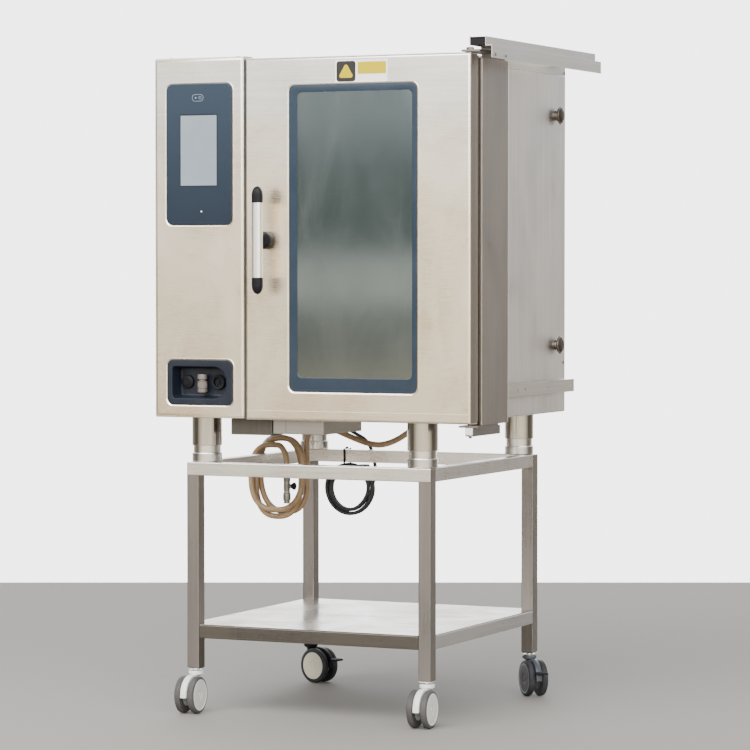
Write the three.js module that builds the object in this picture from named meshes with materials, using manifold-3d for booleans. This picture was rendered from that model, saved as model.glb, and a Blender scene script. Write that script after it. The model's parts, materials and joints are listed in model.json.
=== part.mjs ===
// A half-size combi steamer oven with a recessing door, on a square-tube stand with twin-wheel casters.
// Millimetres, +Z up. Inside the assembly group x runs right from the left edge of the control column,
// y runs back from the outer face of the closed door, and z runs up from the floor.
import * as THREE from "three";
import { mergeVertices } from "three/addons/utils/BufferGeometryUtils.js";
import Module from "manifold-3d";

const wasm = await Module();
wasm.setup();

// ---- driving dimensions -------------------------------------------------
const GAP = 0.3; // between pieces that touch
const SHEET = 2; // casing sheet

const BODY_WIDTH = 849;
const BODY_FRONT = 50.3;
const BODY_REAR = 793;
const BASE_Z = 784;
const ROOF_Z = 1726;
const SIDE_PANEL_TOP = 1703;

const COLUMN_WIDTH = 266;
const COLUMN_TOP = 1729;
const COLUMN_BOTTOM = 785;

const DOOR_LEFT = 270;
const DOOR_RIGHT = 907;
const DOOR_BOTTOM = 783;
const DOOR_TOP = 1721;
const DOOR_DEPTH = 46;
const HINGE_X = 895;
const HINGE_Y = 25;

const WINDOW = { x0: 396, x1: 760, z0: 857, z1: 1650, radius: 17 };

const CAVITY = { x0: 290, x1: 790, y0: 53, y1: 702, z0: 850, z1: 1660 };
const MOUTH = { x0: 380, z0: 860, z1: 1650 };
const FAN_Y = 380;
const FAN_Z = 1257;

const HANDLE_X = 334;
const HANDLE_Z = 1250;
const HANDLE_LENGTH = 279;
const HANDLE_BAR_WIDTH = 27;
const HANDLE_BAR_DEPTH = 21;
const HANDLE_STANDOFF = 58;
const HANDLE_CAP = 42;

const STAND = { x0: 67, x1: 774, y0: 53, y1: 783, top: 664.6, tube: 35, wall: 1.5, legBottom: 117 };
const SHELF_RAIL_TOP = 233;
const FOOT_INSET = 40;
const SLEEVE_BOTTOM = 709;
const FOOT_RING_TOP = 689;

const WHEEL_RADIUS = 49;
const CASTER_TRAIL = 33;
const HOOD_HALF = 9;

const RAIL_FRONT = 8;
const RAIL_REAR = 772;
const POST_REAR = 228;

const HOSE_RADIUS = 8;
const CABLE_RADIUS = 5;

// The footprint's middle becomes the origin: x spans 0 to 962, y spans -70 to 830.
const FOOTPRINT_CENTRE = [481, 380];

// ---- materials ----------------------------------------------------------
const paint = (color, roughness, metalness) => new THREE.MeshStandardMaterial({ color, roughness, metalness });
const STEEL = [0xc4c0b8, 0.35, 0.9];
const LINER_STEEL = [0xb8b6b0, 0.3, 0.9];
const TUBE_STEEL = [0xb9b5ad, 0.4, 0.9];
const CHROME = [0xd8d6d0, 0.15, 1.0];
const BLUE_GLASS = [0x22304a, 0.2, 0.1];
const SCREEN = [0xb6c6d6, 0.3, 0.0];
const DARK_PLASTIC = [0x26282c, 0.5, 0.0];
const GREY_PLASTIC = [0x6f7c8c, 0.5, 0.0];
const WHITE_PLASTIC = [0xe6e6e2, 0.45, 0.0];
const CLEAR_GLASS = [0x9fb0ac, 0.1, 0.0];
const RUBBER = [0x1c1c1c, 0.8, 0.0];
const TYRE_GREY = [0x6a6460, 0.8, 0.0];
const HOSE_TAN = [0xb98450, 0.5, 0.0];
const BRASS = [0x9a8a5c, 0.4, 0.9];

// ---- solids -------------------------------------------------------------
function toSolid(geometry) {
  const bare = new THREE.BufferGeometry();
  bare.setAttribute("position", geometry.getAttribute("position").clone());
  if (geometry.index) bare.setIndex(geometry.index.clone());
  const merged = mergeVertices(bare, 1e-4);
  return new wasm.Manifold(new wasm.Mesh({
    numProp: 3,
    vertProperties: new Float32Array(merged.attributes.position.array),
    triVerts: new Uint32Array(merged.index.array),
  }));
}

const union = (...solids) => solids.reduce((all, next) => all.add(next));
const cut = (solid, ...tools) => tools.reduce((left, tool) => left.subtract(tool), solid);

function box(x0, x1, y0, y1, z0, z1) {
  const geometry = new THREE.BoxGeometry(x1 - x0, y1 - y0, z1 - z0);
  geometry.translate((x0 + x1) / 2, (y0 + y1) / 2, (z0 + z1) / 2);
  return toSolid(geometry);
}

// A cylinder or cone between two ends on one axis; r1 is the radius at the far end.
function rod(axis, at, from, to, r0, r1 = r0, sides = 20) {
  const geometry = new THREE.CylinderGeometry(r1, r0, to - from, sides);
  const middle = (from + to) / 2;
  if (axis === "x") {
    geometry.rotateZ(-Math.PI / 2);
    geometry.translate(middle, at[0], at[1]);
  } else if (axis === "y") {
    geometry.translate(at[0], middle, at[1]);
  } else {
    geometry.rotateX(Math.PI / 2);
    geometry.translate(at[0], at[1], middle);
  }
  return toSolid(geometry);
}

function roundedOutline(width, height, radius, steps = 4) {
  const shape = new THREE.Shape();
  const corners = [[1, 1], [-1, 1], [-1, -1], [1, -1]];
  const points = [];
  corners.forEach(([sx, sz], corner) => {
    for (let step = 0; step <= steps; step += 1) {
      const angle = (corner + step / steps) * (Math.PI / 2);
      points.push(new THREE.Vector2(
        sx * (width / 2 - radius) + radius * Math.cos(angle),
        sz * (height / 2 - radius) + radius * Math.sin(angle),
      ));
    }
  });
  shape.setFromPoints(points);
  return shape;
}

// Turns an extrusion of an x-z outline so that it runs back along y from y0 to y1.
function alongY(shape, y0, y1) {
  const geometry = new THREE.ExtrudeGeometry(shape, { depth: y1 - y0, bevelEnabled: false });
  geometry.rotateX(Math.PI / 2);
  geometry.translate(0, y1, 0);
  return toSolid(geometry);
}

function roundedPlate(x0, x1, y0, y1, z0, z1, radius, steps = 4) {
  const plate = alongY(roundedOutline(x1 - x0, z1 - z0, radius, steps), y0, y1);
  return plate.translate([(x0 + x1) / 2, 0, (z0 + z1) / 2]);
}

// An outline in y and z carried along x from x0 to x1.
function alongX(points, x0, x1) {
  const shape = new THREE.Shape(points.map(([y, z]) => new THREE.Vector2(y, z)));
  const geometry = new THREE.ExtrudeGeometry(shape, { depth: x1 - x0, bevelEnabled: false });
  geometry.applyMatrix4(new THREE.Matrix4().makeBasis(
    new THREE.Vector3(0, 1, 0), new THREE.Vector3(0, 0, 1), new THREE.Vector3(1, 0, 0),
  ));
  geometry.translate(x0, 0, 0);
  return toSolid(geometry);
}

// A round tube along a smooth curve through the points.
function tubeThrough(points, radius, sides, steps) {
  const curve = new THREE.CatmullRomCurve3(points.map((point) => new THREE.Vector3(...point)));
  const section = new THREE.Shape();
  section.setFromPoints(Array.from({ length: sides }, (_, side) => {
    const angle = (side / sides) * 2 * Math.PI;
    return new THREE.Vector2(radius * Math.cos(angle), radius * Math.sin(angle));
  }));
  return toSolid(new THREE.ExtrudeGeometry(section, { steps, extrudePath: curve, bevelEnabled: false }));
}

// ---- the scene graph ----------------------------------------------------
const oven = new THREE.Group();
const assembly = new THREE.Group();
assembly.position.set(-FOOTPRINT_CENTRE[0], -FOOTPRINT_CENTRE[1], 0);
oven.add(assembly);

function place(name, solid, finish, group = assembly) {
  const mesh = solid.getMesh();
  const geometry = new THREE.BufferGeometry();
  geometry.setAttribute("position", new THREE.BufferAttribute(new Float32Array(mesh.vertProperties), 3));
  geometry.setIndex(new THREE.BufferAttribute(new Uint32Array(mesh.triVerts), 1));
  const node = new THREE.Mesh(geometry, paint(...finish));
  node.name = name;
  group.add(node);
}

// ---- casing -------------------------------------------------------------
function addCasing() {
  const left = union(
    box(0, SHEET, BODY_FRONT, BODY_REAR, BASE_Z + SHEET + GAP, ROOF_Z - SHEET - GAP),
    box(SHEET - 0.5, 18, BODY_FRONT, BODY_FRONT + SHEET, BASE_Z + SHEET + GAP, ROOF_Z - SHEET - GAP),
  );
  place("casing_left", left, STEEL);

  const right = union(
    box(BODY_WIDTH - SHEET, BODY_WIDTH, BODY_FRONT + 3, BODY_REAR, BASE_Z + SHEET + GAP, SIDE_PANEL_TOP),
    box(BODY_WIDTH - 20, BODY_WIDTH - SHEET + 0.5, BODY_REAR - SHEET, BODY_REAR,
      BASE_Z + SHEET + GAP, SIDE_PANEL_TOP),
  );
  place("casing_right", right, STEEL);

  const top = union(
    box(0, BODY_WIDTH, BODY_FRONT, BODY_REAR, ROOF_Z - SHEET, ROOF_Z),
    box(BODY_WIDTH - SHEET, BODY_WIDTH, BODY_FRONT, BODY_REAR, SIDE_PANEL_TOP + GAP, ROOF_Z - 0.5),
  );
  const ventHole = rod("z", [300, 680], ROOF_Z - 10, ROOF_Z + 10, 22);
  place("casing_top", cut(top, ventHole), STEEL);

  const drainHole = rod("y", [600, 817], BODY_REAR - 10, BODY_REAR + 10, 21);
  const rear = box(SHEET + GAP, BODY_WIDTH - 20 - GAP, BODY_REAR - SHEET, BODY_REAR,
    BASE_Z + SHEET + GAP, ROOF_Z - SHEET - GAP);
  place("casing_rear", cut(rear, drainHole), STEEL);

  place("exhaust_vent", cut(
    union(rod("z", [300, 680], ROOF_Z - 12, ROOF_Z + 31, 21), rod("z", [300, 680], ROOF_Z + GAP, ROOF_Z + 3, 34)),
    rod("z", [300, 680], ROOF_Z - 20, ROOF_Z + 40, 19),
  ), STEEL);
}

// The base tray carries the four leg sleeves, the hose elbow, the hose strap and the cable gland.
const FEET = [
  ["front_left", STAND.x0 + FOOT_INSET, STAND.y0 + FOOT_INSET],
  ["front_right", STAND.x1 - FOOT_INSET, STAND.y0 + FOOT_INSET],
  ["rear_left", STAND.x0 + FOOT_INSET, STAND.y1 - FOOT_INSET],
  ["rear_right", STAND.x1 - FOOT_INSET, STAND.y1 - FOOT_INSET],
];
const ELBOW = [570, 505];
const HOSE_EXIT = [556, 505, 766];
const STRAP = [246, 505, 742.5];
const GLAND = [190, 700];
const GLAND_BOTTOM = 762;

function addBase() {
  const tray = box(0, BODY_WIDTH, BODY_FRONT, BODY_REAR, BASE_Z, BASE_Z + SHEET);
  const sleeves = FEET.map(([, x, y]) => cut(
    rod("z", [x, y], SLEEVE_BOTTOM, BASE_Z + 0.5, 40),
    rod("z", [x, y], SLEEVE_BOTTOM - 1, BASE_Z - 3, 37.2),
  ));
  const stub = rod("z", [0, 0], GAP, 20, 8.6, 8.6, 16).rotate([0, 53, 0]).translate(HOSE_EXIT);
  const elbow = union(rod("z", ELBOW, BASE_Z - 9, BASE_Z + 0.5, 9, 9, 16), stub);
  const strap = union(
    cut(rod("x", [STRAP[1], STRAP[2]], STRAP[0] - 6, STRAP[0] + 6, 11.4), rod("x", [STRAP[1], STRAP[2]],
      STRAP[0] - 8, STRAP[0] + 8, 8.9)),
    box(STRAP[0] - 6, STRAP[0] + 6, STRAP[1] - 1.2, STRAP[1] + 1.2, STRAP[2] + 10, BASE_Z + 0.5),
  );
  const gland = union(
    rod("z", GLAND, GLAND_BOTTOM, BASE_Z + 0.5, 9, 9, 16),
    rod("z", GLAND, BASE_Z - 8, BASE_Z + 0.5, 13, 13, 6),
  );
  place("base_frame", union(tray, ...sleeves, elbow, strap, gland), TUBE_STEEL);

  const service = union(
    box(196, 316.2, 60, 300, 740, BASE_Z - GAP),
    box(316, 463, 66, 300, 744, BASE_Z - GAP),
  );
  place("service_box", service, STEEL);

  FEET.forEach(([name, x, y]) => {
    place(`foot_${name}`, cut(
      union(
        rod("z", [x, y], STAND.top + GAP, FOOT_RING_TOP, 40),
        rod("z", [x, y], FOOT_RING_TOP - 0.5, SLEEVE_BOTTOM + 32, 36.5),
      ),
      rod("z", [x, y], STAND.top + 8, SLEEVE_BOTTOM + 40, 33.5),
    ), CHROME);
  });
}

// ---- control column -----------------------------------------------------
const BEZEL = { x0: 38, x1: 231, z0: 1291, z1: 1659 };
const DISPLAY = { x0: 81, x1: 187, z0: 1394, z1: 1577 };
const BUTTON = { x: 132, z: 1623, width: 35, height: 20 };
const RECESS = { x0: 39, x1: 232, z0: 819, z1: 937 };
const TUB = { x0: 55, x1: 213, z0: 837, z1: 919, depth: 39 };

function addColumn() {
  const shell = cut(
    box(0, COLUMN_WIDTH, 0, BODY_FRONT - GAP, COLUMN_BOTTOM, COLUMN_TOP),
    box(SHEET, COLUMN_WIDTH - SHEET, SHEET, 60, COLUMN_BOTTOM + SHEET, COLUMN_TOP - SHEET),
    roundedPlate(BEZEL.x0 + 4.7, BEZEL.x1 - 4.7, -1, 10, BEZEL.z0 + 4.7, BEZEL.z1 - 4.7, 10),
    roundedPlate(TUB.x0 - 3.7, TUB.x1 + 3.7, -1, 10, TUB.z0 - 3.7, TUB.z1 + 3.7, 16),
  );
  place("column_front", shell, STEEL);

  const bezel = cut(
    union(
      roundedPlate(BEZEL.x0, BEZEL.x1, -3, -GAP, BEZEL.z0, BEZEL.z1, 14),
      roundedPlate(BEZEL.x0 + 5, BEZEL.x1 - 5, -1, 12, BEZEL.z0 + 5, BEZEL.z1 - 5, 10),
    ),
    box(DISPLAY.x0 - GAP, DISPLAY.x1 + GAP, -4, -1, DISPLAY.z0 - GAP, DISPLAY.z1 + GAP),
    buttonOutline(0.5, -4, 10.5),
  );
  place("control_bezel", bezel, BLUE_GLASS);
  place("display", box(DISPLAY.x0, DISPLAY.x1, -3, -1.3, DISPLAY.z0, DISPLAY.z1), SCREEN);
  place("power_button", buttonOutline(0, -3.7, 8), BLUE_GLASS);
}

function buttonOutline(grow, y0, y1) {
  return roundedPlate(
    BUTTON.x - BUTTON.width / 2 - grow, BUTTON.x + BUTTON.width / 2 + grow, y0, y1,
    BUTTON.z - BUTTON.height / 2 - grow, BUTTON.z + BUTTON.height / 2 + grow, BUTTON.height / 2 + grow - 0.5, 6,
  );
}

function addHoseRecess() {
  const middle = (TUB.z0 + TUB.z1) / 2;
  const tub = cut(
    union(
      roundedPlate(RECESS.x0, RECESS.x1, -3, -GAP, RECESS.z0, RECESS.z1, 16),
      roundedPlate(TUB.x0 - 3, TUB.x1 + 3, -1, TUB.depth + 3, TUB.z0 - 3, TUB.z1 + 3, 16),
    ),
    roundedPlate(TUB.x0, TUB.x1, -4, TUB.depth, TUB.z0, TUB.z1, 14),
  );
  const cap = rod("y", [80, middle], TUB.depth - 7, TUB.depth + 0.5, 18, 20);
  const outlet = cut(
    rod("y", [184, middle], TUB.depth - 9, TUB.depth + 0.5, 20),
    rod("y", [184, middle], TUB.depth - 20, TUB.depth - 1, 13),
  );
  place("recess_tub", union(tub, cap, outlet), DARK_PLASTIC);

  const axis = [132, 20];
  const body = union(
    rod("z", axis, 851, 899, 9),
    rod("z", axis, 851, 861.7, 12.5),
    rod("z", axis, 886, 899, 12.5, 11),
    rod("y", [132, 856], 20, TUB.depth - GAP, 5, 5, 12),
  );
  place("coupling_body", body, CHROME);
  place("coupling_sleeve", cut(rod("z", axis, 862, 881.5, 13.5), rod("z", axis, 860, 884, 9.4)), CHROME);
}

// ---- cooking cavity -----------------------------------------------------
function addCavity() {
  const wall = SHEET;
  const liner = cut(
    union(
      box(COLUMN_WIDTH + 2, BODY_WIDTH - SHEET - GAP, 51, 53, 788, 1720),
      box(CAVITY.x0 - wall, CAVITY.x1 + wall, 51, CAVITY.y1 + wall, CAVITY.z0 - wall, CAVITY.z1 + wall),
    ),
    box(CAVITY.x0, CAVITY.x1, CAVITY.y0, CAVITY.y1, CAVITY.z0, CAVITY.z1),
    box(MOUTH.x0, CAVITY.x1, 45, 60, MOUTH.z0, MOUTH.z1),
    rod("y", [HANDLE_X, HANDLE_Z], 45, 60, 27),
    rod("x", [FAN_Y, FAN_Z], CAVITY.x0 - 5, CAVITY.x0 + 5, 13, 13, 20),
    rod("y", [600, 872], CAVITY.y1 - 5, CAVITY.y1 + 10, 16),
  );
  place("cooking_cavity", liner, LINER_STEEL);

  const gasketOut = roundedPlate(MOUTH.x0 - 16, CAVITY.x1 + 16, 46.5, 50.7, MOUTH.z0 - 16, MOUTH.z1 + 16, 12);
  const gasketIn = roundedPlate(MOUTH.x0 - 2, CAVITY.x1 + 2, 40, 60, MOUTH.z0 - 2, MOUTH.z1 + 2, 6);
  place("cavity_gasket", cut(gasketOut, gasketIn), RUBBER);

  let panel = cut(
    box(392, 394, 90, 690, 866, 1644),
    rod("x", [FAN_Y, FAN_Z], 380, 400, 58, 58, 20),
  );
  for (let slot = 0; slot < 12; slot += 1) {
    const opening = box(380, 400, -5, 5, 72, 128).rotate([(slot * 360) / 12, 0, 0]);
    panel = cut(panel, opening.translate([0, FAN_Y, FAN_Z]));
  }
  const spacers = [[120, 900], [660, 900], [120, 1610], [660, 1610]].map(([y, z]) => (
    rod("x", [y, z], CAVITY.x0 + GAP, 392.5, 6, 6, 10)));
  place("suction_panel", union(panel, ...spacers), LINER_STEEL);

  let wheel = union(
    rod("x", [FAN_Y, FAN_Z], 330, 333, 150, 150, 32),
    rod("x", [FAN_Y, FAN_Z], 296, 340, 10, 10, 16),
    rod("x", [FAN_Y, FAN_Z], 318, 345, 24, 20, 20),
    cut(rod("x", [FAN_Y, FAN_Z], 369, 372, 150, 150, 32), rod("x", [FAN_Y, FAN_Z], 360, 380, 118, 118, 24)),
  );
  for (let blade = 0; blade < 16; blade += 1) {
    const vane = box(332.5, 370, -1, 1, 112, 148).rotate([(blade * 360) / 16, 0, 0]);
    wheel = wheel.add(vane.translate([0, FAN_Y, FAN_Z]));
  }
  place("fan_wheel", wheel, LINER_STEEL);
  place("fan_motor", union(
    rod("x", [FAN_Y, FAN_Z], 130, 270, 72, 72, 28),
    rod("x", [FAN_Y, FAN_Z], 269.5, CAVITY.x0 - wall - GAP, 95, 95, 28),
    rod("x", [FAN_Y, FAN_Z], 110, 130.5, 50, 60, 28),
  ), DARK_PLASTIC);

  const ring = new THREE.TorusGeometry(178, 8, 6, 28);
  ring.rotateY(Math.PI / 2);
  ring.translate(350, FAN_Y, FAN_Z);
  place("heating_element", union(
    toSolid(ring),
    rod("x", [FAN_Y + 178, FAN_Z + 20], CAVITY.x0 + GAP, 352, 6, 6, 10),
    rod("x", [FAN_Y + 178, FAN_Z - 20], CAVITY.x0 + GAP, 352, 6, 6, 10),
  ), STEEL);

  [["rack_left", 418, 394 + GAP, 1], ["rack_right", 766, CAVITY.x1 - GAP, -1]].forEach(([name, x, wallX, side]) => {
    const posts = [130, 640].map((y) => rod("z", [x, y], 880, 1636, 4, 4, 6));
    const rungs = Array.from({ length: 11 }, (_, level) => union(
      rod("y", [x + side * 14, 900 + level * 68], 100, 670, 3.5, 3.5, 6),
      ...[130, 640].map((y) => rod("x", [y, 900 + level * 68], Math.min(x, x + side * 14),
        Math.max(x, x + side * 14), 3, 3, 4)),
    ));
    const pegs = [130, 640].flatMap((y) => [890, 1620].map((z) => rod("x", [y, z], Math.min(x, wallX),
      Math.max(x, wallX), 3, 3, 4)));
    place(name, union(...posts, ...rungs, ...pegs), CHROME);
  });

  place("drain_outlet", cut(
    union(
      rod("y", [600, 872], CAVITY.y1 + wall + GAP, 752, 20),
      rod("z", [600, 734], 817, 872, 18),
      rod("y", [600, 817], 730, 828, 20),
    ),
    rod("y", [600, 872], 690, 745, 15),
    rod("z", [600, 734], 817, 872, 13),
    rod("y", [600, 817], 734, 840, 15),
  ), GREY_PLASTIC);
}

// ---- door ---------------------------------------------------------------
function addDoor() {
  const { x0, x1, z0, z1, radius } = WINDOW;
  const shellDepth = DOOR_DEPTH - 2;
  const shell = cut(
    union(
      cut(
        box(DOOR_LEFT, DOOR_RIGHT, 0, shellDepth, DOOR_BOTTOM, DOOR_TOP),
        box(DOOR_LEFT + SHEET, DOOR_RIGHT - SHEET, SHEET, 60, DOOR_BOTTOM + SHEET, DOOR_TOP - SHEET),
      ),
      box(HINGE_X - 11, DOOR_RIGHT - 1, 8, shellDepth, DOOR_TOP - 34, DOOR_TOP - 1),
      box(HINGE_X - 11, DOOR_RIGHT - 1, 8, shellDepth, DOOR_BOTTOM + 1, DOOR_BOTTOM + 34),
    ),
    roundedPlate(x0, x1, -1, 10, z0, z1, radius),
    rod("y", [HANDLE_X, HANDLE_Z], -1, 10, 9.6),
    rod("z", [HINGE_X, HINGE_Y], DOOR_TOP - 30, DOOR_TOP + 5, 6.4),
    rod("z", [HINGE_X, HINGE_Y], DOOR_BOTTOM - 5, DOOR_BOTTOM + 30, 6.4),
  );
  place("door_shell", shell, STEEL);

  const liner = cut(
    box(DOOR_LEFT + 3, DOOR_RIGHT - 3, shellDepth + GAP, DOOR_DEPTH, DOOR_BOTTOM + 3, DOOR_TOP - 3),
    roundedPlate(x0 + 4, x1 - 4, 40, 60, z0 + 4, z1 - 4, radius),
    rod("y", [HANDLE_X, HANDLE_Z], 40, 60, 9.6),
  );
  place("door_liner", liner, LINER_STEEL);

  place("outer_glass", roundedPlate(x0 + GAP, x1 - GAP, 1, 5, z0 + GAP, z1 - GAP, radius - GAP), BLUE_GLASS);
  place("inner_glass", roundedPlate(x0 + 5, x1 - 5, shellDepth - 6, DOOR_DEPTH - 0.5, z0 + 5, z1 - 5, radius),
    CLEAR_GLASS);
}

function addHandle() {
  const y0 = -HANDLE_STANDOFF - HANDLE_BAR_DEPTH / 2;
  const y1 = -HANDLE_STANDOFF + HANDLE_BAR_DEPTH / 2;
  const low = HANDLE_Z - HANDLE_LENGTH / 2;
  const high = HANDLE_Z + HANDLE_LENGTH / 2;
  const bar = (grow, z0, z1) => {
    const shape = roundedOutline(HANDLE_BAR_WIDTH + 2 * grow, HANDLE_BAR_DEPTH + 2 * grow, 8 + grow);
    const geometry = new THREE.ExtrudeGeometry(shape, { depth: z1 - z0, bevelEnabled: false });
    geometry.translate(HANDLE_X, -HANDLE_STANDOFF, z0);
    return toSolid(geometry);
  };
  const core = union(
    bar(0, low, low + HANDLE_CAP),
    bar(0, high - HANDLE_CAP, high),
    bar(-2.8, low + 5, high - 5),
    roundedPlate(HANDLE_X - 12.5, HANDLE_X + 12.5, y1 - 4, -30, HANDLE_Z - 20, HANDLE_Z + 20, 9),
    roundedPlate(HANDLE_X - 22, HANDLE_X + 22, -34, -1, HANDLE_Z - 23, HANDLE_Z + 23, 20),
    rod("y", [HANDLE_X, HANDLE_Z], -2, DOOR_DEPTH + 2, 9),
  );
  place("handle_core", core, DARK_PLASTIC);

  const grip = cut(
    bar(0, low + HANDLE_CAP + GAP, high - HANDLE_CAP - GAP),
    bar(-2.4, low, high),
    box(HANDLE_X - 15, HANDLE_X + 15, y1 - 6, y1 + 5, HANDLE_Z - 23.4, HANDLE_Z + 23.4),
  );
  place("handle_grip", grip, STEEL);

  place("door_latch", union(
    rod("y", [HANDLE_X, HANDLE_Z], DOOR_DEPTH + 2 + GAP, 56, 12),
    box(HANDLE_X - 6, HANDLE_X + 6, 51, 56, HANDLE_Z - 24, HANDLE_Z),
  ), STEEL);
}

// ---- recessing-door carriage and its rails ------------------------------
function addCarriage() {
  const postTop = 1711;
  const postBottom = 779;
  place("carriage_post", union(
    box(DOOR_RIGHT + 6, DOOR_RIGHT + 8, 54, POST_REAR, postBottom, postTop),
    box(888, DOOR_RIGHT + 7, 54, 56, postBottom, postTop),
    box(898, DOOR_RIGHT + 7, POST_REAR - 2, POST_REAR, postBottom, postTop),
  ), STEEL);

  const pin = (z0, z1) => rod("z", [HINGE_X, HINGE_Y], z0, z1, 6, 6, 20);
  place("hinge_arm_top", union(
    box(878, 928, 8, 210, 1723.5, 1729),
    pin(DOOR_TOP - 28, 1736),
    rod("z", [HINGE_X, HINGE_Y], 1728.5, 1735, 10, 10, 6),
    box(907, 912.5, 70, 210, 1690, 1724),
    box(905, 940, 70, 190, 1728.5, 1742),
    ...[85, 175].map((y) => rod("x", [y, 1746], 906, 939, 9, 9, 16)),
    box(912, 932, 80, 180, 1741, 1750),
  ), TUBE_STEEL);

  place("hinge_arm_bottom", union(
    cut(box(893, 915, 0, 176, 753, 775), box(895, 913, -5, 180, 755, 773)),
    box(873, 926, 4, 50, 774.5, 779.5),
    pin(774, DOOR_BOTTOM + 28),
    box(908, 912.5, 70, 170, 774.5, 800),
  ), TUBE_STEEL);

  // One bent sheet: a channel over the trolley, a step out, and a deep outer web.
  const profile = [
    [900, 1739], [902, 1739], [902, 1759], [943, 1759], [943, 1737], [960, 1737], [960, 1707], [962, 1707],
    [962, 1739], [945, 1739], [945, 1761], [900, 1761],
  ];
  const outline = new THREE.Shape(profile.map(([x, z]) => new THREE.Vector2(x, z)));
  const rail = alongY(outline, RAIL_FRONT, RAIL_REAR);
  const brackets = [300, 700].map((y) => union(
    box(800, 901, y, y + 40, ROOF_Z + GAP, ROOF_Z + 3.3),
    box(898, 901, y, y + 40, ROOF_Z + 1, 1745),
  ));
  place("top_rail", union(rail, ...brackets), STEEL);

  const bar = cut(
    box(857, 862, 60, 830, 838, 872),
    ...[425, 478, 637, 798].map((y) => rod("x", [y, 855], 850, 870, 4, 4, 12)),
  );
  const standoffs = [240, 560, 740].map((y) => rod("x", [y, 855], BODY_WIDTH + GAP, 857.5, 8, 8, 16));
  place("guide_rail", union(bar, ...standoffs), STEEL);

  [["bumper_upper", 1593], ["bumper_lower", 968]].forEach(([name, z]) => {
    place(name, union(
      rod("x", [725, z], BODY_WIDTH + GAP, BODY_WIDTH + 8, 11, 11, 28),
      rod("x", [725, z], BODY_WIDTH + 7, BODY_WIDTH + 12, 16, 25, 28),
      rod("x", [725, z], BODY_WIDTH + 11.9, BODY_WIDTH + 21, 25, 13, 28),
    ), CHROME);
  });
}

// ---- stand --------------------------------------------------------------
function addStand() {
  const { x0, x1, y0, y1, top, tube, wall, legBottom } = STAND;
  const frame = (inset, open) => {
    const w = tube - inset;
    const ring = (zTop) => {
      const z0 = zTop - tube + inset;
      const z1 = zTop - inset;
      return union(
        box(x0 + inset, x1 - inset, y0 + inset, y0 + w, z0, z1),
        box(x0 + inset, x1 - inset, y1 - w, y1 - inset, z0, z1),
        box(x0 + inset, x0 + w, y0 + inset, y1 - inset, z0, z1),
        box(x1 - w, x1 - inset, y0 + inset, y1 - inset, z0, z1),
      );
    };
    const bottom = open ? legBottom + 2 : legBottom;
    const legs = [[x0, y0], [x1 - tube, y0], [x0, y1 - tube], [x1 - tube, y1 - tube]].map(([x, y]) => (
      box(x + inset, x + w, y + inset, y + w, bottom, top - inset)));
    return union(ring(top), ring(SHELF_RAIL_TOP), ...legs);
  };
  const sockets = CASTERS.map(([, x, y]) => rod("z", [x, y], legBottom - 5, legBottom + 8, 8.6, 8.6, 16));
  place("stand_frame", cut(frame(0, false), frame(wall, true), ...sockets), TUBE_STEEL);

  const corner = tube + 0.6;
  const notches = [[x0, y0], [x1 - corner, y0], [x0, y1 - corner], [x1 - corner, y1 - corner]].map(([x, y]) => (
    box(x - 1, x + corner + 1, y - 1, y + corner + 1, 220, 250)));
  place("stand_shelf", cut(
    box(x0 + 1, x1 - 1, y0 + 1, y1 - 1, SHELF_RAIL_TOP + GAP, SHELF_RAIL_TOP + 2.3), ...notches,
  ), STEEL);
}

// ---- casters ------------------------------------------------------------
const HALF = STAND.tube / 2;
// name, stem x, stem y, heading in degrees of the wheel axle about z, hood finish, has a brake
const CASTERS = [
  ["front_left", STAND.x0 + HALF, STAND.y0 + HALF, 3, WHITE_PLASTIC, false],
  ["front_right", STAND.x1 - HALF, STAND.y0 + HALF, 3, WHITE_PLASTIC, false],
  ["rear_left", STAND.x0 + HALF, STAND.y1 - HALF, 72, DARK_PLASTIC, true],
  ["rear_right", STAND.x1 - HALF, STAND.y1 - HALF, 42, DARK_PLASTIC, true],
];

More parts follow.
